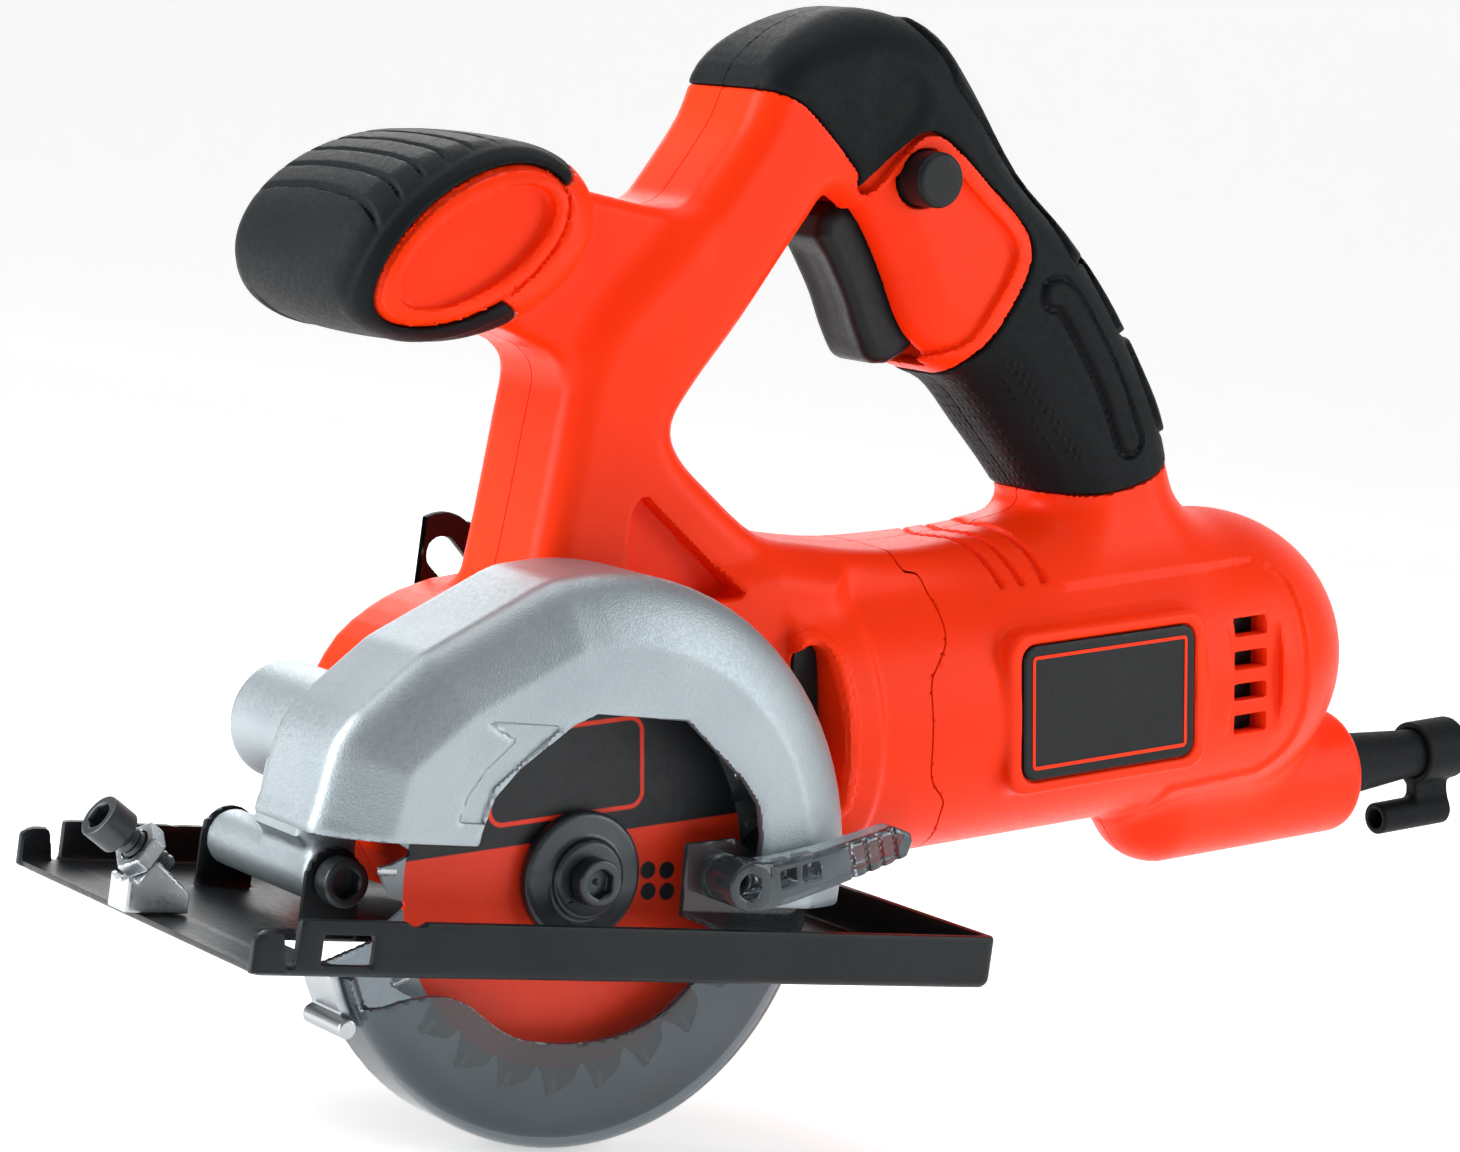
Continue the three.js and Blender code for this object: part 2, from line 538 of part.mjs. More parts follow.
const spurTeeth = 22;
const spurPinionTeeth = 10;
const gearModule = (2 * Math.hypot(jack.x, jack.z)) / (spurTeeth + spurPinionTeeth);
const spurFrom = -17; // as near as the bevel gear's hub allows
const spurTo = -11.5;
const meshAngle = Math.atan2(jack.z, jack.x) / deg;
const spur = (teeth, turn) => {
  const pitch = (teeth * gearModule) / 2;
  return gearPoints(teeth, pitch - 1.1 * gearModule, pitch + 0.8 * gearModule, turn);
};
const spindleR = 5;
axial('spur_pinion', cut(slab(spur(spurPinionTeeth, meshAngle + 180)
  .map(([x, z]) => [x + jack.x, z + jack.z]), spurFrom - gap, spurTo + gap),
rod(jackR - 0.4 + gap, -30, 10, 'y', jack.x, jack.z, 16)), bareSteel);
axial('spur_gear', cut(slab(spur(spurTeeth, meshAngle - 180 / spurTeeth), spurFrom, spurTo),
  rod(spindleR + gap, -30, 10, 'y', 0, 0, 20)), bareSteel);
axial('jackshaft', turned([[0, -18.6], [jackR - 0.4, -18.6], [jackR - 0.4, spurTo + 1], [jackR, spurTo + 1],
  [jackR, 9], [0, 9]], 'y', jack.x, jack.z, 16), bareSteel);
axial('jackshaft_bearing', ring(jackR + gap, 7, 4, 9, 'y', jack.x, jack.z, 20), bareSteel);
axial('bearing_plate', ring(bearing.outer + gap, inBarrel - 5.1, bearing.front, bearing.front + 4,
  'x', 0, motorRise, 24), castMetal);

// ---------------------------------------------------------------- spindle and blade (casting coordinates)
const onSpindle = (name, piece, material) => place(casting, name, piece, material);
const bladeNear = -bladeOffset - bladeT / 2;
const bladeFar = -bladeOffset + bladeT / 2;
const flange = { r: 12.6, t: 3, step: 7.6, stepT: 2 };
const noseR = 4.7;
const boltR = 2.4;
const boltHead = { r: 4.6, l: 3.6 };
const outerFlangeNear = bladeNear - gap - flange.t - flange.stepT;
onSpindle('spindle', cut(turned([[0, bladeNear + 0.2], [noseR, bladeNear + 0.2],
  [noseR, bladeFar + gap + flange.t],
  [spindleR, bladeFar + gap + flange.t + gap], [spindleR, -10], [0, -10]], 'y', 0, 0, 20),
rod(boltR + gap, -50, -22, 'y', 0, 0, 14)), bareSteel);
onSpindle('inner_flange', ring(noseR + gap, flange.r, bladeFar + gap, bladeFar + gap + flange.t, 'y', 0,
  0, 28), darkSteel);
onSpindle('outer_flange', turned([[boltR + gap, outerFlangeNear], [flange.step, outerFlangeNear],
  [flange.step, outerFlangeNear + flange.stepT], [flange.r, outerFlangeNear + flange.stepT],
  [flange.r, bladeNear - gap], [boltR + gap, bladeNear - gap]], 'y', 0, 0, 28), darkSteel);
onSpindle('blade_bolt', capScrew(boltHead.r, boltHead.l, boltR, outerFlangeNear - gap - boltHead.l, -24,
  'y', 0, 0), darkSteel);
const bladeOutline = Array.from({ length: bladeTeeth }, (_, i) => {
  const step = 360 / bladeTeeth;
  const at = (r, share) => [r * Math.cos((i + share) * step * deg), r * Math.sin((i + share) * step * deg)];
  return [at(bladeR, 0), at(bladeR - 1.4, 0.4), at(bladeR - 5, 0.85)];
}).flat();
onSpindle('saw_blade', cut(slab(bladeOutline, bladeNear, bladeFar), rod(noseR + gap, -50, -20, 'y', 0, 0,
  20)), bladePaint);

// ---------------------------------------------------------------- upper guard casting
const bladeAt = (r, from, to, count) => arc(0, 0, r, from, to, count);
// The near face: straight facets at the front, then round the blade to the rear end.
const faceAt = (out, angle) =>
  [(guardFaceR + out) * Math.cos(angle * deg), (guardFaceR + out) * Math.sin(angle * deg)];
const guardFace = [faceAt(3.4, 173), faceAt(2.7, 171), faceAt(3.3, 156.3), faceAt(0, 136.5), faceAt(0.2,
  106.5),
  ...bladeAt(guardFaceR, 98, -12, 12), [30, -14], [-40, -14]];
const guardSpread = guardR - guardFaceR;
const guardRear = -3; // lower end of the guard's rear, from the blade axis
const guardFront = 6.7; // lower edge of its front
function guardShell(wall) {
  const geometry = new THREE.ExtrudeGeometry(toShape(guardFace), {
    depth: 40, bevelEnabled: true, bevelThickness: guardRound, bevelSize: guardSpread - wall,
    bevelSegments: 2,
  });
  geometry.rotateX(Math.PI / 2);
  geometry.translate(0, guardNear + wall + guardRound + 40, 0);
  return solid(geometry).intersect(block(-80, 80, guardNear + wall - 1,
    guardBack - (wall ? guardWall : 0), -20, 80));
}
const guardTrim = join(block(-90, 25, -80, 0, -40, guardFront), block(20, 90, -80, 0, -40, guardRear));
const guardWindow = [[-29.5, 2], [-29.2, 9], [-27.2, 15.7], [-22.7, 21.3], [-12.4, 29.9], [-7.7, 32],
  [12.8, 31.9],
  [27.4, 21.1], [31.4, 16.3], [33.1, 10.4], [34, -16], [-29, -16]];
const leg = { near: guardBack, far: -1.5 }; // the arm that carries the depth hinge
const legOutline = [[hinge.x - 6, 14], [hinge.x + 2, 17], [hinge.x + 7, 12], [hinge.x + 5.5, -2],
  [hinge.x + 3, hinge.z - axisZ + 3], [hinge.x - 2, hinge.z - axisZ + 3], [hinge.x - 7, 2]];
const hingeAt = [hinge.x, hinge.z - axisZ];
const bossR = 14.2;
const bossNear = guardBack - 9.5;
const spindleBearing = { outer: 11, near: bossNear + 1, far: bossNear + 8 };
const backPlate = [[-37, 6.7], [-40, 19], [-30, 34], [-13, 48], ...bladeAt(guardR - 3.5, 95, 0, 9),
  [18, guardRear],
  [10, -13.5], [-12, -13.5], [-22, 6.7]];
const upperGuard = cut(
  join(
    cut(guardShell(0), cut(guardShell(guardWall), block(-90, 90, guardBack - guardWall, 0, -90, 90)),
      guardTrim),
    slab(backPlate, guardBack - guardWall, guardBack),
    rod(bossR, bossNear, guardBack, 'y', 0, 0, 28),
    rod(dustPort.r, guardBack - 1, dustPort.far, 'y', dustPort.x, dustPort.z, 28),
    slab(legOutline, leg.near, leg.far, { round: 1.5 }),
    slab([[hinge.x - 6, -4], [hinge.x, 6], [hinge.x + 6, 8], [hinge.x + 5, -6]], hingeNear + 1,
      leg.near + 2),
    rod(barrelR, hingeNear, hingeFar, 'y', ...hingeAt, 20),
  ),
  slab(guardWindow, guardNear - 1, guardNear + guardWall + 3),
  rod(dustPort.r - dustPort.wall, -60, dustPort.far + 1, 'y', dustPort.x, dustPort.z, 24)
    .intersect(block(-90, 90, guardBack - guardWall - 1, 60, -90, 90)),
  rod(spindleBearing.outer + gap, -40, spindleBearing.far, 'y', 0, 0, 24),
  rod(spindleR + 1.5, -40, 0, 'y', 0, 0, 20),
  rod(2.5, -40, 40, 'y', ...hingeAt, 16),
);
place(casting, 'upper_guard', upperGuard, castMetal);
onSpindle('spindle_bearing', ring(spindleR + gap, spindleBearing.outer, spindleBearing.near,
  spindleBearing.far - gap,
  'y', 0, 0, 24), bareSteel);
onSpindle('guard_retainer', ring(11.6, 16.2, bossNear - gap - 0.9, bossNear - gap, 'y', 0, 0, 24),
  bareSteel);
onSpindle('guard_spring', ring(bossR + gap, 16.4, lowerGuardBack + gap, guardBack - guardWall - gap,
  'y', 0, 0, 24), bareSteel);

// ---------------------------------------------------------------- lower guard, lever and nose
// Part of a turned profile, between two angles from +X towards +Z.
function sector(profile, from, to, segments = 28) {
  const geometry = new THREE.LatheGeometry([...profile, profile[0]].map(([r, h]) => new THREE.Vector2(r,
    h)), segments);
  const wedge = [[0, 0], ...bladeAt(90, from, to, 8)];
  return solid(geometry).intersect(slab(wedge, -80, 0));
}
const nearWall = [[lowerGuardInner, lowerGuardNear], [lowerGuardR - 6, lowerGuardNear],
  [lowerGuardR - 0.5, lowerGuardNear + 5],
  [lowerGuardR, lowerGuardNear + 7], [lowerGuardR, lowerGuardBack],
    [lowerGuardR - lowerGuardT, lowerGuardBack],
  [lowerGuardR - lowerGuardT, lowerGuardNear + 7.5], [lowerGuardR - 6.5, lowerGuardNear + lowerGuardT],
  [lowerGuardInner, lowerGuardNear + lowerGuardT]];
const backWallR = lowerGuardR - lowerGuardT + 0.2;
const backWall = [[bossR + gap, lowerGuardBack - lowerGuardT], [backWallR, lowerGuardBack - lowerGuardT],
  [backWallR, lowerGuardBack], [bossR + gap, lowerGuardBack]];
const leverAt = { x: 26.7, z: 2.3 };
const lowerGuardFrom = -157;
const lowerGuardTo = 12;
const leverPad = slab([[18, 8], [30, 9.5], [36, 5], [lowerGuardR - 3, 8], [lowerGuardR - 1.5, 0],
  [44, -8], [30, -9], [20, -6]],
  lowerGuardNear, lowerGuardNear + lowerGuardT);
const hubRing = ring(bossR + gap, 20, lowerGuardBack - lowerGuardT, lowerGuardBack, 'y', 0, 0, 28);
place(casting, 'lower_guard', cut(join(sector(nearWall, lowerGuardFrom + 7, -22), sector(
  [[lowerGuardR - lowerGuardT, lowerGuardNear + 6], [lowerGuardR, lowerGuardNear + 6],
    [lowerGuardR, lowerGuardBack], [lowerGuardR - lowerGuardT, lowerGuardBack]], -30, lowerGuardTo),
      sector(backWall, lowerGuardFrom, lowerGuardTo), hubRing,
leverPad, sector([[lowerGuardR - 7, lowerGuardNear], [lowerGuardR - 1, lowerGuardNear + 6],
  [lowerGuardR - 2.5, lowerGuardNear + 6.2], [lowerGuardR - 8, lowerGuardNear + lowerGuardT]], -30,
    lowerGuardTo))),
smoke);
const leverNear = guardNear - 7;
const leverR = 4.6;
place(casting, 'guard_lever', cut(join(
  rod(leverR, leverNear, lowerGuardNear - gap, 'y', leverAt.x, leverAt.z, 16),
  slab([[26, 7], [31, 7.2], [44, 10.2], [59, 15], [63.5, 13], [62.5, 9], [58, 7], [44, 2], [30, -2.4],
    [27, -2]],
    leverNear, guardNear - 1),
), rod(2.2, leverNear - 1, guardNear, 'y', leverAt.x, leverAt.z, 14),
slab([[33.5, 5], [38, 6], [38.5, 2.6], [34.5, 1.4]], leverNear - 1, guardNear)), smoke);
const nose = { inner: lowerGuardR + gap + 0.1, outer: lowerGuardR + 2.2, end: -148,
  pin: lowerGuardR + 3.2 };
const noseOutline = [...bladeAt(nose.outer, -158, nose.end + 3, 3), ...bladeAt(nose.inner, nose.end + 3,
  -158, 3)];
place(casting, 'guard_nose', join(slab(noseOutline, lowerGuardNear + 7, lowerGuardBack),
  rod(1.9, lowerGuardNear + 4, lowerGuardBack, 'y', nose.pin * Math.cos(nose.end * deg),
    nose.pin * Math.sin(nose.end * deg), 12)), bareSteel);

// ---------------------------------------------------------------- sole, depth bracket and fence clamp
const slot = { x0: -lowerGuardR - 6, x1: lowerGuardR + 8, near: guardNear - 1.5, far: guardBack - 2 };
const front = soleFront + 8.5; // the near flange starts here; ahead of it the plate is stepped
const lug = { near: hingeNear - gap - 1.4, far: hingeFar + gap + 1.4 };
const lugR = 6;
const lugOutline = [[hinge.x - lugR, 0.5], [hinge.x - lugR, hinge.z], ...arc(hinge.x, hinge.z, lugR, 170,
  10, 6),
  [hinge.x + lugR, hinge.z], [hinge.x + lugR, 0.5]];
const nearLug = slab(lugOutline, lug.near, lug.near + 1.4);
const farLug = slab(lugOutline, hingeFar + gap, lug.far);
const sheet = cut(
  join(
    block(soleFront, soleRear, soleNear + 8, soleFar, 0, soleT),
    block(front, soleRear, soleNear, soleFar, 0, soleT),
    block(front, soleRear, soleNear, soleNear + soleT, 0.5, soleFlange),
    block(front, soleRear, soleFar - soleT, soleFar, 0.5, soleFlange - 0.7),
    block(soleRear - soleT, soleRear, soleNear, soleFar, 0.5, soleFlange),
    slab([[-76, 0.2], [-76, 7.5], [-70, 8.5], [-70, 0.2]], soleNear, soleNear + soleT),
    block(-76, front + 1, soleNear, soleNear + 12, 0, soleT),
    slab([[-75.5, 0.2], [-75.5, 7.5], [-70, 8.5], [-68.5, 0.2]], soleFar - soleT, soleFar),
    slab([[-65.5, 0.2], [-65.5, 10], [-60.5, 9.8], [-60.5, 0.2]], soleFar - soleT, soleFar),
    nearLug, farLug,
  ),
  block(slot.x0, slot.x1, slot.near, slot.far, -1, 20),
  block(-62, -51.5, soleNear - 1, soleNear + soleT + 0.5, 2.3, 7.8),
  rod(2.5, lug.near - 1, lug.far + 1, 'y', hinge.x, hinge.z, 16),
);
place(sole, 'sole_plate', sheet, blackSteel);
const pinHead = lug.near - gap - 4.6;
place(sole, 'hinge_pin', capScrew(boltHead.r, 4.6, 2.1, pinHead, lug.far + 4, 'y', hinge.x, hinge.z),
  darkSteel);
place(sole, 'hinge_nut', ring(2.6, 4.4, lug.far + gap, lug.far + 3.4, 'y', hinge.x, hinge.z, 6), darkSteel);

const bracketFar = bracketNear + bracketT;
const slotHalf = pivotR + 0.5;
const startDeg = lock.start / deg;
const bandArc = (r, from, to) => arc(hinge.x, hinge.z, r, from, to, 12);
const bracketBand = [...bandArc(bracketR + 9, -6, 53), ...bandArc(bracketR - 8, 53, -6)];
const bracketSlot = [...bandArc(bracketR + slotHalf, startDeg - 3, startDeg + depthRange + 3),
  ...bandArc(bracketR - slotHalf, startDeg + depthRange + 3, startDeg - 3)];
place(sole, 'depth_bracket', cut(join(
  cut(slab(bracketBand, bracketNear, bracketFar), slab(bracketSlot, bracketNear - 1, bracketFar + 1)),
  block(hinge.x + 61, hinge.x + 85, bracketNear - 8, bracketFar, soleT + gap, soleT + gap + bracketT),
), block(0, 90, 0, 60, -40, soleT + gap)), blackSteel);
const rivetSeat = soleT + bracketT + 2 * gap;
const rivetTop = rivetSeat + 2;
[hinge.x + 66, hinge.x + 80].forEach((x, i) => place(sole, `bracket_rivet_${i + 1}`,
  turned([[0, rivetSeat], [3, rivetSeat], [2.2, rivetTop], [0, rivetTop]], 'z', x, bracketNear - 4, 12),
  bareSteel));

// Fence clamp: a block on the front edge with a cap screw that leans forwards.
const clamp = { x: -74, y: -8, z: 12.5, lean: 33, headR: 4.4, headL: 6, shankR: 2.6, long: 13 };
const clampGroup = new THREE.Group();
clampGroup.position.set(clamp.x, clamp.y, clamp.z);
clampGroup.rotation.y = clamp.lean * deg;
sole.add(clampGroup);
place(clampGroup, 'fence_clamp_screw',
  capScrew(clamp.headR, clamp.headL, clamp.shankR, -clamp.long, 5, 'x', 0, 0), darkSteel);
place(clampGroup, 'fence_clamp_nut',
  ring((clamp.shankR + gap) / Math.cos(30 * deg), 5.2, -3.4, 0, 'x', 0, 0, 6), bareSteel);
const clampBlock = cut(
  slab([[-79, soleT + gap], [-79, 8.5], [-73.4, 12.1], [-66, soleT + gap + 4], [-66, soleT + gap]],
    clamp.y - 6, clamp.y + 6),
  rod(clamp.shankR + gap, -30, 30, 'x', 0, 0, 12).rotate([0, clamp.lean, 0]).translate([clamp.x, clamp.y,
    clamp.z]),
  rod(6.4, -30, gap, 'x', 0, 0, 12).rotate([0, clamp.lean, 0]).translate([clamp.x, clamp.y, clamp.z]),
);
place(sole, 'fence_clamp_block', clampBlock, bareSteel);

// ---------------------------------------------------------------- depth lock
const lockLever = { near: bracketFar + gap + 1, thick: 4.5, hub: 7, long: 30 };
const leverFar = lockLever.near + lockLever.thick;
place(body, 'depth_lock_bolt', capScrew(5, 3, pivotR, leverFar + gap + 3, 12, 'y', lock.u, lock.w),
  darkSteel);
place(body, 'depth_lock_lever', cut(join(
  rod(lockLever.hub, lockLever.near, leverFar, 'y', lock.u, lock.w, 20),
  slab([[lock.u, lock.w - 5], [lock.u + lockLever.long, lock.w + 1],
    [lock.u + lockLever.long + 3, lock.w + 5],
    [lock.u + lockLever.long, lock.w + 8.5], [lock.u, lock.w + 6]], lockLever.near, leverFar),
), rod(pivotR + gap, lockLever.near - 1, leverFar + 1, 'y', lock.u, lock.w, 16)), blackPlastic);

export default saw;
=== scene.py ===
# %% [markdown]
# # A compact circular saw
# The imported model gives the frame: where every part of the saw is, what it rides on and how big it is.
# This script makes the surfaces that a person sees. It works in millimetres, in the saw's own three
# spaces, and turns the finished points into metres in the frame at the very end.

# %% The fixed frame
import json
import math

import bpy
import numpy as np
from mathutils import Matrix, Vector


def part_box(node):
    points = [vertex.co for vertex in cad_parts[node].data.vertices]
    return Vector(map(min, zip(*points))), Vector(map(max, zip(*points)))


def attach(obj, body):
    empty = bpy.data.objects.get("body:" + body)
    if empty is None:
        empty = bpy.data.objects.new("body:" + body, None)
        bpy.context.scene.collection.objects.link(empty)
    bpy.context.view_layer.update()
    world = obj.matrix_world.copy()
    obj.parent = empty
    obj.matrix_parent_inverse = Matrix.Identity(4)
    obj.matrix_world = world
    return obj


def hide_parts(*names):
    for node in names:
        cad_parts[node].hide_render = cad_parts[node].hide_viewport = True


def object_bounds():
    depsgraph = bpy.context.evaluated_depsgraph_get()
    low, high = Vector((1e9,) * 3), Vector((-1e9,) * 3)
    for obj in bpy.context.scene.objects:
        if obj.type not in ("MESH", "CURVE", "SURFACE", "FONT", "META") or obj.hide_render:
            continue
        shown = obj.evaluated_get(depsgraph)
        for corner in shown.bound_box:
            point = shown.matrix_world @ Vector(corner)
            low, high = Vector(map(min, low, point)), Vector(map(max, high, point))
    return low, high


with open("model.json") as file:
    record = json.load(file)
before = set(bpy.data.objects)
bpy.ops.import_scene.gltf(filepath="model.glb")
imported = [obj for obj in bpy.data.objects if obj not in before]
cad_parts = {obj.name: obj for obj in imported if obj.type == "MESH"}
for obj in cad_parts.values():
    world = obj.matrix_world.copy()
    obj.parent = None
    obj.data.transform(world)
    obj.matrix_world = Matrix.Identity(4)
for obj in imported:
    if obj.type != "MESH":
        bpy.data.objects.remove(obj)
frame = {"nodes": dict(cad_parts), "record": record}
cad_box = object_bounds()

# %% [markdown]
# ## Three spaces
# The sole is level. The casting round the blade is level too, but it is measured from the blade's axis.
# The motor body leans back by ten degrees about that same axis, so its own "along" runs with the motor.
# The blade's axis is the middle of the spindle's box, so nothing here has to be fitted by eye.

# %% Spaces
MM = 0.001
LEAN = math.radians(10)
low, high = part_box("spindle")
AXIS_HIGH = (low.z + high.z) / 2 / MM
blade_low, blade_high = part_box("saw_blade")
BLADE_R = (blade_high.x - blade_low.x) / 2 / MM
BLADE_Y = (blade_low.y + blade_high.y) / 2 / MM


def into_frame(points, space):
    """Metres in the frame from millimetres in a space: the body's points turn by its lean, and every
    point above the blade's axis rises by the axis's height."""
    x, y, z = np.asarray(points, float).T
    if space == "body":
        x, z = x * math.cos(LEAN) - z * math.sin(LEAN), x * math.sin(LEAN) + z * math.cos(LEAN)
    if space != "sole":
        z = z + AXIS_HIGH
    return np.stack([x, y, z], axis=1) * MM


print(f"blade axis {AXIS_HIGH:.1f} mm up, blade radius {BLADE_R:.1f} mm, blade plane y {BLADE_Y:.1f} mm")

# %% [markdown]
# ## From arrays to a mesh
# A piece is two arrays: points, and the four corners of each face. The points go into the mesh in one
# call. Edges sharper than a given angle are marked, so that a crisp edge stays crisp while the rest of
# the surface is shaded smoothly. Every piece then rides on its body and stands for its nodes.

# %% Pieces
MATERIALS = {}
PIECES = []
SHARP = math.radians(38)


def piece(name, points, faces, space, body, slot, nodes, dots=None):
    """A mesh object from whole arrays. dots is a share from 0 to 1 at each point, which the rubber's
    finish reads: how much of its dotted pattern shows there."""
    mesh = bpy.data.meshes.new(name)
    mesh.from_pydata(into_frame(points, space).tolist(), [], faces.tolist())
    mesh.validate()
    mesh.polygons.foreach_set("use_smooth", np.ones(len(mesh.polygons), bool))
    mesh.set_sharp_from_angle(angle=SHARP)
    if dots is not None:
        mark = mesh.attributes.new("dots", "FLOAT", "POINT")
        mark.data.foreach_set("value", dots.astype(np.float32))
    made = bpy.data.objects.new(name, mesh)
    bpy.context.scene.collection.objects.link(made)
    mesh.materials.append(MATERIALS[slot])
    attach(made, body)
    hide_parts(*nodes)
    corners = sum(len(p.vertices) - 2 for p in mesh.polygons)
    PIECES.append((name, corners))
    print(f"  {name}: {corners} triangles")


print(f"edges sharper than {math.degrees(SHARP):.0f} degrees stay crisp")

# %% [markdown]
# ## Outlines
# A side view is a closed outline. Where it is round, a smooth curve runs through a few chosen points.
# How far a point is from an outline, and on which side, is all that a moulded shape needs to know.

# %% Curves and outlines
def curve(points, steps=6, closed=False):
    """A smooth curve through the points. Between two of them it is the cubic whose slope at each point
    is half the way from the point before to the point after."""
    p = np.asarray(points, float)
    ring = np.vstack([p[-1], p, p[:2]]) if closed else np.vstack([2 * p[0] - p[1], p, 2 * p[-1] - p[-2]])
    a, b, c, d = ring[:-3], ring[1:-2], ring[2:-1], ring[3:]
    t = (np.arange(steps) / steps)[None, :, None]
    a, b, c, d = (k[:, None, :] for k in (a, b, c, d))
    way = 0.5 * (2 * b + (c - a) * t + (2 * a - 5 * b + 4 * c - d) * t**2 + (3 * b - a - 3 * c + d)
        * t**3)
    way = way.reshape(-1, p.shape[1])
    return way if closed else np.vstack([way, p[-1]])


def arc(cx, cy, r, start, end, count=12):
    """Points on a circle, in degrees from the first axis towards the second."""
    a = np.radians(np.linspace(start, end, count + 1))
    return np.stack([cx + r * np.cos(a), cy + r * np.sin(a)], axis=1)


ring = curve(arc(0, 0, 10, 0, 315, 7), closed=True)
print(f"a curve through 8 points of a 10 mm circle strays {abs(np.hypot(*ring.T) - 10).max():.2f} mm")

# %% How far from an outline
def within(u, w, points):
    """Signed distance to a closed outline, below zero inside. It is the least distance to any edge, and
    the sign turns over with each edge that a level line from the point crosses."""
    u, w = np.float32(u), np.float32(w)
    near = np.full(np.broadcast(u, w).shape, 1e12, np.float32)
    odd = np.zeros(near.shape, bool)
    ends = np.roll(points, -1, axis=0)
    for (u0, w0), (u1, w1) in zip(np.float32(points), np.float32(ends)):
        du, dw = u1 - u0, w1 - w0
        t = np.clip(((u - u0) * du + (w - w0) * dw) / (du * du + dw * dw + 1e-9), 0, 1)
        near = np.minimum(near, (u - u0 - t * du) ** 2 + (w - w0 - t * dw) ** 2)
        if dw != 0:
            odd ^= ((w0 > w) != (w1 > w)) & (u < du * (w - w0) / dw + u0)
    return np.sqrt(near) * np.where(odd, np.float32(-1), np.float32(1))


def span(box, before, after):
    """A span let out at its two ends, or drawn in where the amounts are below zero."""
    return box[0] - before, box[1] + after


def rounded(u, w, box_u, box_w, r):
    """Distance to a rectangle with round corners: the same as to a smaller rectangle, less r."""
    a = np.abs(u - sum(box_u) / 2) - (box_u[1] - box_u[0]) / 2 + r
    b = np.abs(w - sum(box_w) / 2) - (box_w[1] - box_w[0]) / 2 + r
    return np.hypot(np.maximum(a, 0), np.maximum(b, 0)) + np.minimum(np.maximum(a, b), 0) - r


def wedge(x, z, start, end):
    """Below zero between two angles, in degrees from the first axis towards the second."""
    middle, half_turn = math.radians((start + end) / 2), math.radians(end - start) / 2
    a = x * math.cos(middle) + z * math.sin(middle)
    b = np.abs(-x * math.sin(middle) + z * math.cos(middle))
    return b * math.cos(half_turn) - a * math.sin(half_turn)


def hexagon(a, b, r):
    """Distance to a six-sided outline whose flats are r from its middle."""
    a, b = np.abs(a), np.abs(b)
    return np.maximum(a, 0.5 * a + math.sqrt(0.75) * b) - r


print(f"the middle of that circle is at {float(within(0.0, 0.0, ring)):.1f} mm, below zero as it is inside")

# %% Joining and rounding shapes
def blend(a, b, k):
    """Both shapes as one, with a fillet: the lesser distance, lowered where the two are within k."""
    h = np.clip(0.5 + 0.5 * (b - a) / k, 0, 1)
    return b + (a - b) * h - k * h * (1 - h)


def carve(a, b, k=0.8):
    """The first shape without the second, with its new edge rounded over about k."""
    return -blend(-a, b, k)


def overlap(a, b, k=0.8):
    """What is in both shapes, with the new edge rounded over about k."""
    return -blend(-a, -b, k)


def prism(flat, across, half, r):
    """An outline given thickness: flat is the distance in the side view, across is how far the point
    is from the middle. Both are let in by r and the corner between them is a circle of radius r."""
    a, b = flat + r, np.abs(across) - half + r
    return np.hypot(np.maximum(a, 0), np.maximum(b, 0)) + np.minimum(np.maximum(a, b), 0) - r


def rise(x, start, end):
    """0 before start, 1 after end, and a smooth step between."""
    t = np.clip((x - start) / (end - start), 0, 1)
    return t * t * (3 - 2 * t)


def drum(a, b, radius, along, start, end, r):
    """A round bar from start to end along one direction, with its rims rounded by r."""
    return prism(np.hypot(a, b) - radius, along - (start + end) / 2, abs(end - start) / 2, r)


print(f"two faces that meet, blended over 4 mm, gain {-blend(0.0, 0.0, 4.0):.1f} mm of fillet")

# %% [markdown]
# ## Skins of moulded shapes
# A moulding is easiest to say as a sum: a barrel, blended into a strut, less a pocket. So its shape is
# kept as a distance field, below zero inside. Its skin is found on a grid: each cell that the surface
# crosses gets one point, the mean of its crossings, and each grid edge that changes sign gets a face
# from the four cells round it. Then every point slides down the field onto the true surface. Where the
# piece is cut by a plane or a line, the points beside the cut are moved to both surfaces in turn, which
# leaves a crisp edge.

# %% The skin of a field
CORNERS = np.array([[i, j, k] for i in (0, 1) for j in (0, 1) for k in (0, 1)])
CELL_EDGES = [(p, q) for p in range(8) for q in range(p + 1, 8)
    if abs(CORNERS[p] - CORNERS[q]).sum() == 1]


def slope(field, points, h=0.05):
    """Which way a field grows fastest, from its change over a small step along each axis."""
    ahead = [field(*(points + h * axis).T) - field(*(points - h * axis).T) for axis in np.eye(3)]
    return np.stack(ahead, axis=1) / (2 * h)


def onto(field, points, reach):
    """The points moved down the slope by their distance over the slope, never further than reach."""
    value, grad = field(*points.T), slope(field, points)
    move = -grad * (value / np.maximum((grad**2).sum(1), 0.05))[:, None]
    size = np.linalg.norm(move, axis=1, keepdims=True)
    return points + move * np.minimum(1, reach / np.maximum(size, 1e-9))


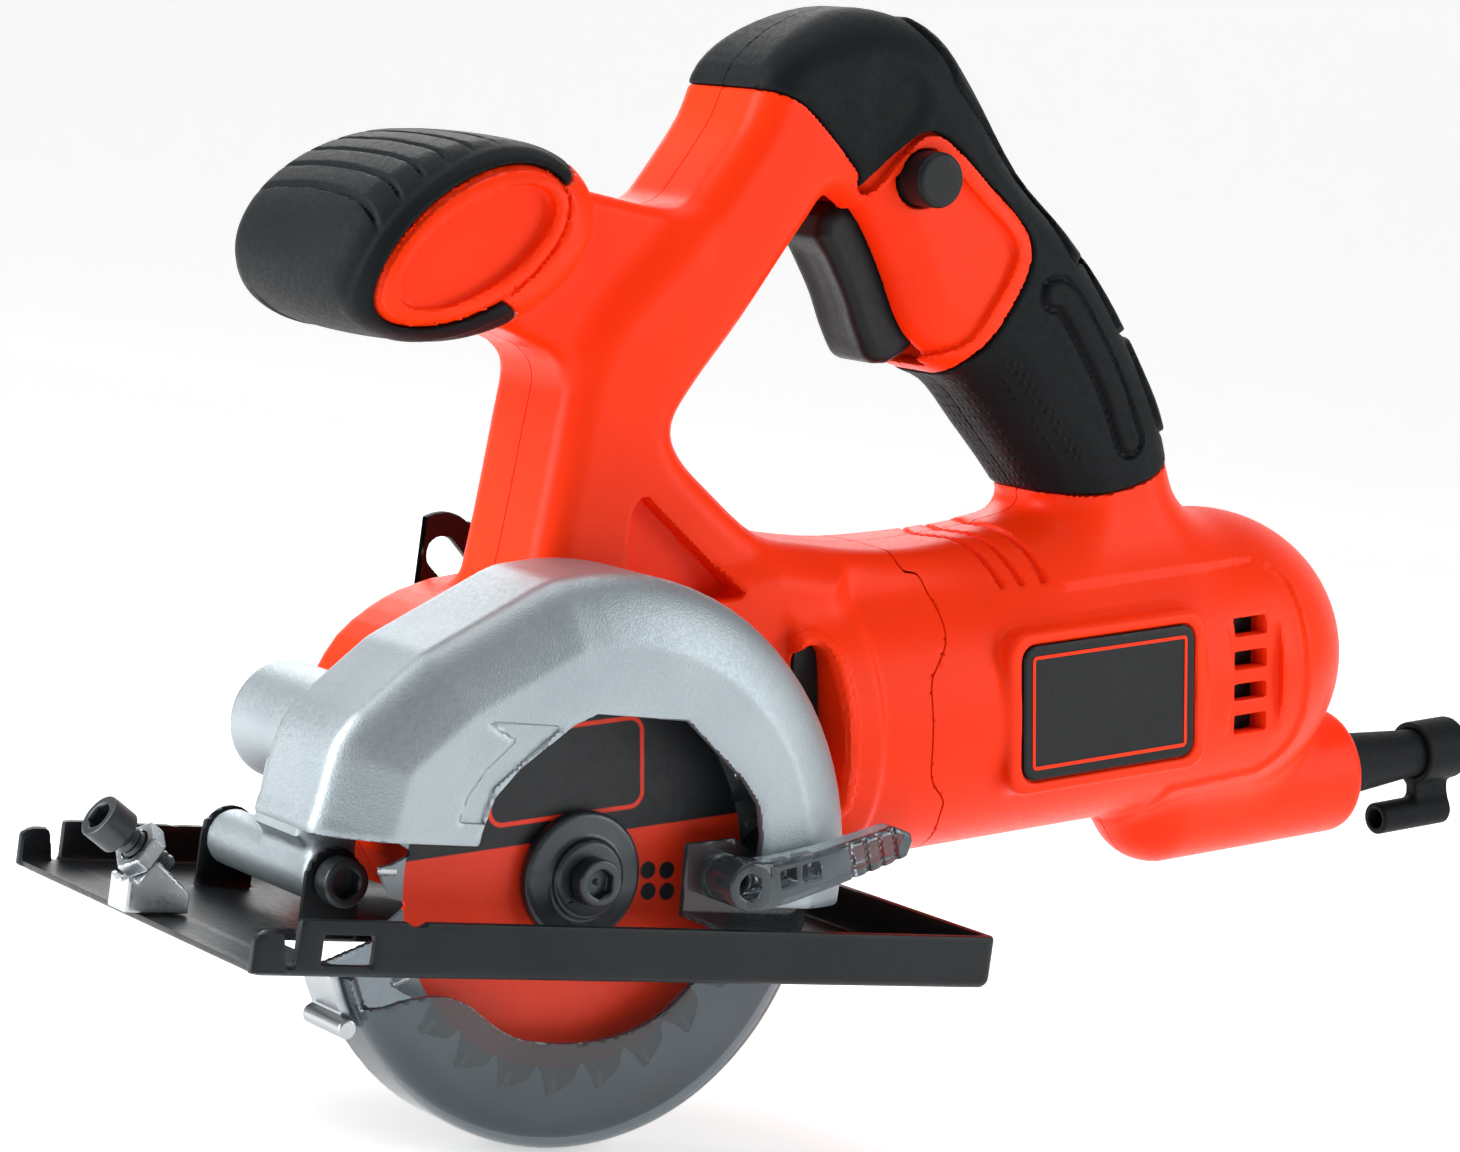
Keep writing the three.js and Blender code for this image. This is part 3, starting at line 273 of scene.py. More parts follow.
def skin(field, box, step, cuts=()):
    """Points and four-cornered faces of the surface where the field, and every cut, is below zero."""
    grid = [np.arange(a, b + step, step, dtype=np.float32) for a, b in box]
    x, y, z = np.meshgrid(*grid, indexing="ij", sparse=True)
    value = np.broadcast_to(field(x, y, z), [len(g) for g in grid]).astype(np.float32)
    for cut in cuts:
        value = np.maximum(value, cut(x, y, z))
    inside = value < 0
    n = np.array(inside.shape) - 1
    full = np.zeros(n, np.int8)
    for i, j, k in CORNERS:
        full += inside[i : i + n[0], j : j + n[1], k : k + n[2]]
    cells = np.stack(np.nonzero((full > 0) & (full < 8)), axis=1)
    at = [value[tuple((cells + c).T)] for c in CORNERS]
    total, hits = np.zeros((len(cells), 3)), np.zeros(len(cells))
    for p, q in CELL_EDGES:
        crossed = (at[p] < 0) != (at[q] < 0)
        t = np.where(crossed, at[p] / np.where(crossed, at[p] - at[q], 1), 0)[:, None]
        total += (CORNERS[p] + t * (CORNERS[q] - CORNERS[p])) * crossed[:, None]
        hits += crossed
    local = total / hits[:, None]
    points = np.array([g[0] for g in grid]) + step * (cells + local)
    grad = np.zeros_like(points)
    for c, v in zip(CORNERS, at):
        share = np.where(c, local, 1 - local)
        for a in range(3):
            grad[:, a] += (2 * c[a] - 1) * v * np.delete(share, a, axis=1).prod(1) / step
    number = np.full(n, -1, np.int32)
    number[tuple(cells.T)] = np.arange(len(cells))
    faces = []
    for axis in range(3):
        first = [slice(1, -1)] * 3
        first[axis] = slice(0, -1)
        second = list(first)
        second[axis] = slice(1, None)
        spot = np.stack(np.nonzero(inside[tuple(first)] != inside[tuple(second)]), axis=1)
        one, two = [a for a in range(3) if a != axis]
        spot[:, one] += 1
        spot[:, two] += 1
        step_one, step_two = np.eye(3, dtype=int)[[one, two]]
        ring = [number[tuple((spot - s).T)] for s in (step_one + step_two, step_two, step_one * 0,
            step_one)]
        quad = np.stack(ring, axis=1)
        turn = inside[tuple(spot.T)] if axis != 1 else ~inside[tuple(spot.T)]
        quad[~turn] = quad[~turn][:, ::-1]
        faces.append(quad)
    whole = [field, *cuts]

    def solid(*p):
        return np.max([np.broadcast_to(f(*p), p[0].shape) for f in whole], axis=0)

    for _ in range(2):
        move = -grad * (solid(*points.T) / np.maximum((grad**2).sum(1), 0.05))[:, None]
        size = np.linalg.norm(move, axis=1, keepdims=True)
        points = points + move * np.minimum(1, step / 2 / np.maximum(size, 1e-9))
    for cut in cuts:
        others = [f for f in whole if f is not cut]
        rest = lambda *p, others=others: np.max([np.broadcast_to(f(*p), p[0].shape) for f in others],
            axis=0)
        edge = (np.abs(cut(*points.T)) < 0.6 * step) & (np.abs(rest(*points.T)) < 0.6 * step)
        for _ in range(5):
            points[edge] = onto(cut, onto(rest, points[edge], step / 3), step / 3)
    return points, np.vstack(faces)


def add(name, field, box, step, space, body, slot, nodes=None, cuts=(), dots=None):
    """The skin of a field as a piece. It stands for the node of its own name unless others are given."""
    points, faces = skin(field, box, step * (1), cuts)
    piece(name, points, faces, space, body, slot, nodes or [name], dots and dots(points))


ball = lambda x, y, z: np.sqrt(x * x + y * y + z * z) - 5
points, faces = skin(ball, ((-6, 6),) * 3, 0.8)
print(f"a 5 mm ball: {len(faces)} faces, none more than {abs(ball(*points.T)).max():.4f} mm off")

# %% [markdown]
# ## Finishes
# Moulded plastic is never one flat colour: the pigment drifts a little, and the mould leaves a fine
# spark-eroded grain. Rubber has a coarser, duller grain. Cast metal has crystals and shallow pits, and
# steel has fine brushed lines. One recipe serves them all: two tones mixed by slow noise, a roughness
# that wanders with finer noise, and a bump from two grains. Every pattern reads the piece's own
# place, so it never slides when the saw moves.

# %% The recipe
def node(tree, kind, **values):
    """A shader node. Each value goes to the socket of that name, or else to the node's own setting."""
    made = tree.nodes.new(kind)
    for key, value in values.items():
        if key in made.inputs:
            made.inputs[key].default_value = value
        else:
            setattr(made, key, value)
    return made


def grain_of(tree, place, scale, detail=4.0, stretch=(1, 1, 1)):
    """Noise with this many waves to a metre, drawn out along an axis where stretch is below 1."""
    sized = node(tree, "ShaderNodeMapping")
    sized.inputs["Scale"].default_value = stretch
    noise = node(tree, "ShaderNodeTexNoise", Scale=scale, Detail=detail)
    tree.links.new(place, sized.inputs["Vector"])
    tree.links.new(sized.outputs[0], noise.inputs["Vector"])
    return noise.outputs["Fac"]


def colour_mix(tree, one, two):
    """A mix of two colours. Sockets 6 and 7 are its colours, 0 its share and 2 its result."""
    mix = node(tree, "ShaderNodeMix", data_type="RGBA")
    for socket, colour in ((6, one), (7, two)):
        if isinstance(colour, tuple):
            mix.inputs[socket].default_value = (*colour, 1)
        else:
            tree.links.new(colour, mix.inputs[socket])
    return mix


def finish(slot, tones, rough, metal=0.0, grain=900, bump=0.05, coarse=0, pits=0.0, stretch=(1, 1, 1),
        **own):
    """A finish for a slot: tones are its two colours, rough its least and most roughness, grain the
    fine pattern's waves to a metre and bump its depth in millimetres. own are sockets of the shader."""
    made = bpy.data.materials.new(slot)
    made.use_nodes = True
    tree = made.node_tree
    shader = tree.nodes["Principled BSDF"]
    shader.inputs["Metallic"].default_value = metal
    for key, value in own.items():
        shader.inputs[key.replace("_", " ")].default_value = value
    place = node(tree, "ShaderNodeTexCoord").outputs["Object"]
    drift = grain_of(tree, place, 38)
    fine = grain_of(tree, place, grain, 3, stretch)
    tone = colour_mix(tree, tones[0], tones[1])
    spread = node(tree, "ShaderNodeMapRange")
    spread.inputs["From Min"].default_value = 0.35
    spread.inputs["From Max"].default_value = 0.65
    tree.links.new(drift, spread.inputs["Value"])
    tree.links.new(spread.outputs[0], tone.inputs[0])
    tree.links.new(tone.outputs[2], shader.inputs["Base Color"])
    sheen = node(tree, "ShaderNodeMapRange")
    sheen.inputs["From Min"].default_value = 0.3
    sheen.inputs["From Max"].default_value = 0.7
    sheen.inputs["To Min"].default_value, sheen.inputs["To Max"].default_value = rough
    tree.links.new(grain_of(tree, place, grain * 0.35, 3, stretch), sheen.inputs["Value"])
    tree.links.new(sheen.outputs[0], shader.inputs["Roughness"])
    raised = node(tree, "ShaderNodeBump", Strength=1.0, Distance=bump * MM)
    tree.links.new(fine, raised.inputs["Height"])
    if coarse:
        lumps = node(tree, "ShaderNodeTexVoronoi", Scale=coarse, feature="SMOOTH_F1")
        under = node(tree, "ShaderNodeBump", Strength=1.0, Distance=pits * MM)
        tree.links.new(place, lumps.inputs["Vector"])
        tree.links.new(lumps.outputs["Distance"], under.inputs["Height"])
        tree.links.new(under.outputs[0], raised.inputs["Normal"])
    tree.links.new(raised.outputs[0], shader.inputs["Normal"])
    MATERIALS[slot] = made
    return tree, shader, tone, raised

# %% Plastics, rubber and metals
finish("orange_shell", ((0.98, 0.038, 0.0030), (0.90, 0.033, 0.0026)), (0.32, 0.42), grain=2200,
    bump=0.03, Specular_IOR_Level=0.12)
tree, shader, _, raised = finish("grip_rubber", ((0.0038, 0.0056, 0.0070), (0.0060, 0.0082, 0.0098)),
    (0.50, 0.64), grain=2600, bump=0.07, Specular_IOR_Level=0.11)
finish("black_plastic", ((0.0062, 0.0080, 0.0092), (0.0094, 0.0115, 0.0130)), (0.38, 0.50), grain=2200,
    bump=0.03, Specular_IOR_Level=0.20)
finish("cast_metal", ((0.30, 0.35, 0.375), (0.35, 0.40, 0.425)), (0.40, 0.50), metal=0.82, grain=3200,
    bump=0.05, coarse=2400, pits=0.03)
finish("black_steel", ((0.0085, 0.0112, 0.0135), (0.0125, 0.0160, 0.0185)), (0.34, 0.46), metal=0.2,
    grain=1800, bump=0.025, Specular_IOR_Level=0.22)
finish("dark_steel", ((0.045, 0.052, 0.058), (0.070, 0.080, 0.086)), (0.32, 0.44), metal=0.8, grain=1400,
    bump=0.03, stretch=(1, 0.15, 1))
finish("bare_steel", ((0.42, 0.45, 0.47), (0.52, 0.55, 0.57)), (0.24, 0.38), metal=0.92, grain=1600,
    bump=0.02, stretch=(1, 0.12, 1))
finish("brush_brass", ((0.62, 0.45, 0.20), (0.72, 0.54, 0.26)), (0.25, 0.38), metal=0.95)
finish("motor_copper", ((0.58, 0.23, 0.11), (0.70, 0.31, 0.16)), (0.28, 0.42), metal=0.9, grain=1500,
    bump=0.06, stretch=(0.2, 1, 1))
finish("smoked_plastic", ((0.17, 0.21, 0.235), (0.20, 0.245, 0.27)), (0.05, 0.10), grain=400, bump=0.015,
    Transmission_Weight=0.86, IOR=1.42)
print("finishes:", ", ".join(MATERIALS))

# %% [markdown]
# Some patterns follow a drawing: a field of dots, or paint inside an outline. They are worked out in the
# shader with Math nodes. Writing each one out would hide the sum, so a small class lets an output be
# added and multiplied as a number is, and every sum makes its own node.

# %% Sums in a shader
def calc(tree, operation, one, two=None):
    """One Math node on two values, each a number or a Value."""
    made = node(tree, "ShaderNodeMath", operation=operation)
    for socket, value in zip(made.inputs, (one, two)):
        if isinstance(value, Value):
            tree.links.new(value.output, socket)
        elif value is not None:
            socket.default_value = value
    return Value(tree, made.outputs[0])


class Value:
    """A node's output that ordinary sums can be written with."""

    def __init__(self, tree, output):
        self.tree, self.output = tree, output

    def __add__(self, other):
        return calc(self.tree, "ADD", self, other)

    def __sub__(self, other):
        return calc(self.tree, "SUBTRACT", self, other)

    def __rsub__(self, other):
        return calc(self.tree, "SUBTRACT", other, self)

    def __mul__(self, other):
        return calc(self.tree, "MULTIPLY", self, other)

    def __abs__(self):
        return calc(self.tree, "ABSOLUTE", self)

    def least(self, other):
        """The smaller of the two."""
        return calc(self.tree, "MINIMUM", self, other)

    def most(self, other):
        """The greater of the two."""
        return calc(self.tree, "MAXIMUM", self, other)

    def root(self):
        """Its square root."""
        return calc(self.tree, "SQRT", self)


def below(value, limit, soft=0.12):
    """1 where the value is under the limit and 0 above it, with a soft edge."""
    step = node(value.tree, "ShaderNodeMapRange")
    for socket, number in (("From Min", limit - soft), ("From Max", limit + soft), ("To Min", 1.0),
            ("To Max", 0.0)):
        step.inputs[socket].default_value = number
    value.tree.links.new(value.output, step.inputs["Value"])
    return Value(value.tree, step.outputs[0])

# %% [markdown]
# The rubber carries a field of small round dots. Where they are is an attribute of the mesh. How they
# look is a cell pattern: near the middle of its cell a point is raised, by up to 0.4 mm.

# %% Dots on the rubber
DOTS_PER_METRE, DOT_REACH, DOT_HEIGHT = 560.0, 0.42, 0.9
cells = node(tree, "ShaderNodeTexVoronoi", Scale=DOTS_PER_METRE, Randomness=0.12)
tree.links.new(node(tree, "ShaderNodeTexCoord").outputs["Object"], cells.inputs["Vector"])
share = Value(tree, node(tree, "ShaderNodeAttribute", attribute_name="dots").outputs["Fac"])
dot = (DOT_REACH - Value(tree, cells.outputs["Distance"]).least(DOT_REACH)) * share
dotted = node(tree, "ShaderNodeBump", Strength=1.0, Distance=DOT_HEIGHT * MM)
tree.links.new(dot.output, dotted.inputs["Height"])
tree.links.new(dotted.outputs[0], raised.inputs["Normal"])
print(f"dots {1000 / DOTS_PER_METRE:.1f} mm apart, {DOT_REACH * DOT_HEIGHT:.2f} mm high")

# %% [markdown]
# The blade's paint is drawn with sums on the place across the disc. A sloping line parts black from
# orange. A panel's outline is the distance to a rectangle with round corners, and four dots are circles.
# Outside the paint the steel is bare.

# %% Where on the blade
tree, shader, tone, _ = finish("blade_paint", ((0.80, 0.036, 0.0045), (0.70, 0.030, 0.0040)),
    (0.38, 0.52), grain=1500, bump=0.02, Specular_IOR_Level=0.35)
axes = node(tree, "ShaderNodeSeparateXYZ")
tree.links.new(node(tree, "ShaderNodeTexCoord").outputs["Object"], axes.inputs[0])
across = Value(tree, axes.outputs[0]) * 1000.0
upward = Value(tree, axes.outputs[2]) * 1000.0 - AXIS_HIGH
SLOPE = math.radians(9.294)
along = across * math.cos(SLOPE) + upward * math.sin(SLOPE)
over = upward * math.cos(SLOPE) - across * math.sin(SLOPE)


def radius_from(x, z):
    """Distance across the disc from a point on it: the root of two squares."""
    one, two = across - x, upward - z
    return (one * one + two * two).root()


print(f"the paint's line slopes by {math.degrees(SLOPE):.1f} degrees")

# %% Paint on the blade
PANEL_AT, PANEL_HALF, PANEL_CORNER, PAINT_R = (-1.85, 20.15), (16.75, 8.55), 2.8, 37.2
a = abs(along - PANEL_AT[0]) - (PANEL_HALF[0] - PANEL_CORNER)
b = abs(over - PANEL_AT[1]) - (PANEL_HALF[1] - PANEL_CORNER)
a_out, b_out = a.most(0.0), b.most(0.0)
panel = (a_out * a_out + b_out * b_out).root() + a.most(b).least(0.0)
outline = below(abs(panel - PANEL_CORNER), 0.42)
dark = (1.0 - below(over, 7.33)) * (1.0 - outline)
for x, z in ((16.1, 1.4), (16.8, -2.7), (20.4, 1.5), (21.1, -2.6)):
    dark = dark.most(below(radius_from(x, z), 1.7))
painted = below(radius_from(0, 0), PAINT_R)
ink = colour_mix(tree, tone.outputs[2], (0.0075, 0.0095, 0.012))
steel = colour_mix(tree, (0.23, 0.26, 0.28), ink.outputs[2])
metallic = 0.85 - painted * 0.80
for value, socket in ((dark, ink.inputs[0]), (painted, steel.inputs[0]),
        (metallic, shader.inputs["Metallic"])):
    tree.links.new(value.output, socket)
tree.links.new(steel.outputs[2], shader.inputs["Base Color"])
print("the paint takes", sum(n.bl_idname == "ShaderNodeMath" for n in tree.nodes), "sums")

# %% [markdown]
# ## The housing
# The shell is two clamshell halves in orange plastic. Four simple solids make its shape: the motor
# barrel with a domed end, the gear case in front of it, a frame that rises as the strut and comes back
# as the D-handle, and a knob on a neck. They are blended as a mould maker blends them, with generous
# fillets, and then the hand opening, pockets, vents and beds for the rubber are taken away.

# %% The side view of the frame
strut = curve([(1.7, 40), (5.7, 51), (10.6, 69), (14.3, 83.7), (17, 92), (24, 103), (35, 113),
    (43.5, 120.6), (51, 129), (57.7, 137.5), (63, 147.5), (72, 154), (84, 157.6), (96, 156.4),
    (106.5, 151.5), (114.5, 141.5), (126, 123.5), (139.3, 110), (150, 96.6), (158.2, 83), (164, 71.5),
    (167.4, 59), (170.5, 50), (176, 38)], 4)
FRAME_SIDE = np.vstack([strut, [(170, 22), (12, 22)]])
HAND_HOLE = curve([(72, 52), (59.5, 55.5), (47.5, 66), (41.2, 73), (39.7, 79), (44.5, 86), (56, 98.4),
    (69.5, 114.4), (77, 121.5), (84, 116), (89.5, 106), (95, 93), (102, 85.6), (113.5, 80), (122.5, 69.5),
    (131, 59), (134, 53.6), (129, 50), (112, 48.6), (90, 49)], 4, closed=True)
NECK_SIDE = np.array([(-14, 104), (-2, 102.6), (12, 95.6), (18, 90), (46, 108), (47.5, 119.4),
    (34, 122.3), (16, 127.2), (-6, 131)])
GEAR_SIDE = np.vstack([[(-20, -7), (-25, 2), (-26, 14)],
    curve([(-23, 27), (-15, 38), (-4, 44.5), (6, 47)], 3),
    [(60, 50), (76, 46.4), (76, -14.8), (20, -12)]])
FRAME_HALF, NECK_HALF, KNOB_HALF = 16.6, 14.0, 28.3
MOTOR_W, MOTOR_HALF, MOTOR_R, MOTOR_FRONT, DOME_AT, DOME_LONG = 15.0, 30.0, 31.5, 61.5, 180.0, 34.0
print(f"handle {FRAME_SIDE[:, 1].max():.0f} mm above the blade, knob {2 * KNOB_HALF:.0f} mm across")

# %% [markdown]
# The knob is a barrel for the palm: in the side view an ellipse, and across the saw it keeps its width
# until the ends, where it rounds over. The ellipse tips a little more towards its near end.

# %% The knob and the frame
KNOB_AT, KNOB_LONG, KNOB_HIGH, KNOB_TIP = (-10.0, 118.6), 29.0, 18.5, math.radians(12)


def oval(u, w, at, long, high, tip):
    """Distance to a tipped ellipse: how far past 1 its equation is, over how fast it grows there."""
    a = (u - at[0]) * math.cos(tip) + (w - at[1]) * math.sin(tip)
    b = -(u - at[0]) * math.sin(tip) + (w - at[1]) * math.cos(tip)
    q = np.hypot(a / long, b / high) + 1e-6
    return (q - 1) * q / np.hypot(a / long**2, b / high**2 + 1e-9)


def knob(u, y, w):
    """The ellipse of the knob, 7% smaller at its ends than in its middle, with round ends."""
    crown = 1 - 0.07 * (y / KNOB_HALF) ** 2
    flat = oval(KNOB_AT[0] + (u - KNOB_AT[0]) / crown, KNOB_AT[1] + (w - KNOB_AT[1]) / crown, KNOB_AT,
        KNOB_LONG, KNOB_HIGH, KNOB_TIP)
    return prism(flat, y, KNOB_HALF, 10.5)


def frame_part(u, y, w):
    """The strut and the D-handle. The rounding grows from 6 mm round the strut to 13 mm on the grip."""
    outer, hole = within(u, w, FRAME_SIDE), -within(u, w, HAND_HOLE)
    r = 6.5 + 6.5 * rise(u + 0.35 * (w - 120), 70, 104)
    return prism(np.maximum(outer, hole), y, FRAME_HALF, r)


print("hand opening", " by ".join(f"{n:.0f}" for n in np.ptp(HAND_HOLE, axis=0)), "mm")

# %% The motor barrel
PANEL = np.vstack([[(-60, 90), (122.0, 90), (122.0, 46), (124.5, 40.6), (129.5, 37.8), (181.0, 38.4)],
    curve([(185.2, 36.2), (188.2, 31.0), (188.6, 8.0), (186.6, -1.5), (181.0, -6.2)], 4),
    [(158.0, -7.6), (150, -60), (-60, -60)]])
LABEL = {"u": (111.8, 157.4), "w": (0.8, 29.6)}


def motor_part(u, y, w):
    """The barrel. Its wall stands 0.9 mm prouder all round the long side panel, and a little prouder
    still over the gear case."""
    proud = 0.9 * rise(within(u, w, PANEL), -0.2, 1.3) + 0.7 * rise(-u, -78.6, -76.4)
    across = np.hypot(y / (MOTOR_HALF + proud), (w - MOTOR_W) / (MOTOR_R + proud))
    round_end = np.hypot(across, np.maximum(u - DOME_AT, 0) / (DOME_LONG + proud))
    side = (round_end - 1) * (MOTOR_R - 0.5)
    plate = rounded(u, w, span(LABEL["u"], 3.4, 3.2), span(LABEL["w"], 2.6, 2.4), 5)
    side = blend(side, prism(plate, y, MOTOR_HALF + 0.8, 1.2), 1.6)
    return overlap(side, MOTOR_FRONT - u, 2.5)


print(f"motor barrel {2 * MOTOR_HALF:.0f} by {2 * MOTOR_R:.0f} mm, ends at {DOME_AT + DOME_LONG:.0f} mm")

# %% The cord's boss and the gear case
CORD_AXIS = -15.6


def cord_part(u, y, w):
    """The boss that the cord leaves: a bar under the motor's end, rounded in front."""
    start, end = 171.0, 220.6
    along = np.maximum(start - u, 0)
    bar = np.hypot(np.hypot(y, w - CORD_AXIS), along) - 13.9
    return overlap(bar, u - end, 3.0)


def gear_part(u, y, w):
    """The gear case. Its near side stands behind the blade guard, so the case isn't centred."""
    near, far = -20.6, 29.0
    return prism(within(u, w, GEAR_SIDE), y - (near + far) / 2, (far - near) / 2, 5.0)


print(f"the cord leaves {-CORD_AXIS:.1f} mm under the middle of the body")

# %% Vents, slot, recesses and holes
VENT = {"u": (170.4, 179.0), "foot": 3.4, "pitch": 6.95, "tall": 3.7, "rows": 4}
SLOT_SIDE = np.vstack([arc(64.3, 31.2, 3.0, 180, 0, 8), [(67.9, 14.0), (67.6, 2.0), (64.0, 2.0),
    (61.3, 14.0)]])
HOLLOW_SIDE = curve([(30.8, 66.0), (34.5, 62.6), (48.5, 48.6), (50.6, 45.0), (44, 44.4), (28.2, 46.0),
    (26.4, 49.4), (27.6, 62.4)], 4, closed=True)
WINDOW = curve([(70, 121), (76.5, 124.2), (81.1, 121.7), (85, 124.6), (91, 129.0), (97.3, 132.6),
    (101.5, 132.4), (106.2, 129.3), (114.5, 121.6), (122.4, 114.1), (125.0, 108), (122.5, 100.8),
    (116.1, 92.2), (111.8, 87.2), (105.5, 84.6), (92, 84), (76, 104)], 5, closed=True)
ROUND_SEAM = curve([(91.4, 60), (91.7, 46.3), (95.5, 44.2), (96.7, 40.7), (97.3, 36.5), (96.2, 31.4),
    (92.0, 26.6), (90.5, 24.4), (89.9, 20), (89.9, 8.0), (91.3, 3.4), (95.4, -1.2), (96.3, -5.1),
    (98.8, -12.3), (100, -22)], 3)
CORD_R = 8.6
TRIGGER_WELL = np.array([(72, 108), (88, 80), (106, 86.4), (113.5, 98), (104, 117), (92, 128), (79, 123)])
SCREWS = [(24, 72), (64, 127), (152, 62), (70, -9), (196, -6)]
BUTTON, PORT = (98.2, 124.0), (-29.37, 23.46)


def holes(u, y, w):
    """Everything cut into the shell, as one field: below zero where plastic is taken away."""
    deep = MOTOR_HALF - np.abs(y)
    rows = (w - VENT["foot"]) % VENT["pitch"] - VENT["tall"] / 2
    stack_half = (VENT["pitch"] * (VENT["rows"] - 1) + VENT["tall"]) / 2
    stack = np.abs(w - VENT["foot"] - stack_half) - stack_half
    slots = np.maximum(rounded(u, w, VENT["u"], (-40, 60), 1), np.abs(rows) - VENT["tall"] / 2)
    slots = np.maximum(slots, stack)
    bezel_w = (VENT["foot"] - 2.2, VENT["foot"] + 2 * stack_half + 1.8)
    bezel = rounded(u, w, span(VENT["u"], 1.9, 3.2), bezel_w, 2.6)
    cavity = rounded(u, w, span(VENT["u"], 0.6, 0.6), span(bezel_w, -1.6, -1.2), 1)
    cavity = np.maximum(cavity, np.maximum(5.6 - deep, deep - 10))
    cuts = np.minimum(np.minimum(np.maximum(slots, deep - 6), cavity), np.maximum(bezel, deep - 2.2))
    hollow = np.maximum(within(u, w, HOLLOW_SIDE), 12.4 - np.abs(y))
    well = np.maximum(within(u, w, TRIGGER_WELL), np.abs(y) - 8.4)
    slot = np.maximum(within(u, w, SLOT_SIDE), y + 16)
    beds = np.maximum(rounded(u, w, LABEL["u"], LABEL["w"], 3.6), MOTOR_HALF - 0.7 - np.abs(y))
    cord = np.maximum(np.hypot(y, w - CORD_AXIS) - CORD_R, 196 - u)
    button = np.maximum(np.hypot(u - BUTTON[0], w - BUTTON[1]) - 6.0, y - 6)
    boss = np.maximum(np.hypot(u, w) - 16, y + 8)
    port = np.hypot(u - PORT[0], w - PORT[1]) - 12.1
    screws = [np.maximum(np.hypot(u - su, w - sw) - 3.8, 11 - y) for su, sw in SCREWS]
    for other in (slot, beds, hollow, well, cord, button, boss, port, *screws):
        cuts = np.minimum(cuts, other)
    return cuts


print(f"{VENT['rows']} vents, {VENT['pitch']} mm apart, and {len(SCREWS)} screw holes")

# %% [markdown]
# The rubber lies in beds, so that it meets the plastic almost flush. A bed is the outermost skin of the
# frame or the knob, inside the outline that the rubber covers.

# %% Where the rubber goes
COVER_SIDE = np.vstack([
    curve([(44.5, 138.4), (50.5, 142.8), (58.5, 143.4), (65.5, 141.6), (71.4, 137.6), (81.9, 126.0)], 3),
    curve([(82.4, 123.2), (84.0, 121.4), (86.4, 122.2)], 2),
    curve([(91, 127.0), (97.3, 132.0), (101.5, 132.3), (106.2, 129.3), (114.5, 121.6), (122.4, 114.1),
        (125.0, 108), (122.5, 100.8), (116.1, 92.2), (111.8, 87.6)], 4),
    [(106, 82), (112, 62)],
    curve([(121.0, 58.6), (130.0, 56.6), (141.7, 55.6), (152.0, 56.6), (163.0, 60.0), (176, 66)], 3),
    [(176, 120), (120, 172), (60, 172)]])
CAP_SIDE = np.vstack([curve([(12.4, 131.0), (9.6, 128.8), (7.2, 128.0)], 2),
    curve([(-2, 126.4), (-14, 119.5), (-13, 113.6), (-6.0, 107.6), (-1.2, 104.4), (-1.8, 100)], 4),
    [(-12, 92), (-60, 92), (-60, 150), (12, 150)]])
OVAL_AT, OVAL_LONG, OVAL_HIGH, OVAL_TIP = (-12.0, 118.2), 20.6, 10.2, math.radians(27)


def end_oval(u, w, grow):
    """Distance to the oval on the knob's end face, made larger by grow."""
    return oval(u, w, OVAL_AT, OVAL_LONG + grow, OVAL_HIGH + grow, OVAL_TIP)


def cap_zone(u, y, w):
    """Where the knob wears its rubber: in front of its neck, and not on its two end faces. Between the
    ends the rubber runs on under the neck's sides."""
    side = within(u, w, CAP_SIDE)
    return overlap(side, -np.maximum(end_oval(u, w, 1.4), 20 - np.abs(y)), 0.6)


print(f"the plastic oval is {2 * OVAL_LONG:.0f} by {2 * OVAL_HIGH:.0f} mm")

# %% The whole shell
def shell(u, y, w):
    """The whole housing: its parts blended together, less its beds, its window and its holes."""
    core = frame_part(u, y, w)
    whole = blend(gear_part(u, y, w), motor_part(u, y, w), 3.0)
    whole = blend(whole, cord_part(u, y, w), 5.0)
    root = 4.5 + 5.5 * rise(u, 90, 140)
    whole = blend(whole, core, root)
    ball = knob(u, y, w)
    whole = blend(whole, prism(within(u, w, NECK_SIDE), y, NECK_HALF, 3.5), 4.5)
    whole = blend(whole, ball, 4.0)
    dish = overlap(end_oval(u, w, -2.3), KNOB_HALF - 2.5 - np.abs(y), 0.6)
    groove = np.maximum(np.abs(end_oval(u, w, 0.9)) - 0.4, -ball - 0.9)
    rim = np.maximum(np.abs(within(u, w, SLOT_SIDE) - 1.9) - 1.1, np.maximum(motor_part(u, y, w) - 0.7,
        y))
    whole = carve(blend(whole, rim, 0.6), groove, 0.4)
    window = overlap(within(u, w, WINDOW) + 3.6, -core - 1.7, 0.8)
    whole = carve(carve(whole, dish, 0.6), window, 0.8)
    for start, slant in ((106.6, 0.43), (112.8, 0.36), (120.6, 0.24)):
        ring = np.maximum(np.abs(u - start - slant * np.abs(y)) - 0.7, np.abs(w - 47) - 7.5)
        whole = carve(whole, np.maximum(ring, -whole - 1.1), 0.4)
    whole = carve(whole, holes(u, y, w), 0.7)
    cover_bed = np.maximum(within(u, w, COVER_SIDE), -core - 2.5)
    cap_bed = np.maximum(cap_zone(u, y, w), -ball - 1.9)
    return np.maximum(whole, -np.minimum(cover_bed, cap_bed))


spot = np.array([150.0, 0.0, MOTOR_W])
print("the motor's middle is", f"{-float(shell(*spot[:, None])[0]):.0f} mm inside the shell")

# %% [markdown]
# The halves part along the middle of the saw. Each half is also split where the round seam shows, in
# front of the motor, and along a line that the grip's rubber hides. Splitting there keeps every mesh
# small and gives the seam its real gap.

# %% The four shells
REAR_ZONE = np.vstack([ROUND_SEAM, [(102, -40), (240, -40), (240, 64), (91.4, 64)]])
STEP = 0.8
GAP, SEAM = 0.16, 0.2


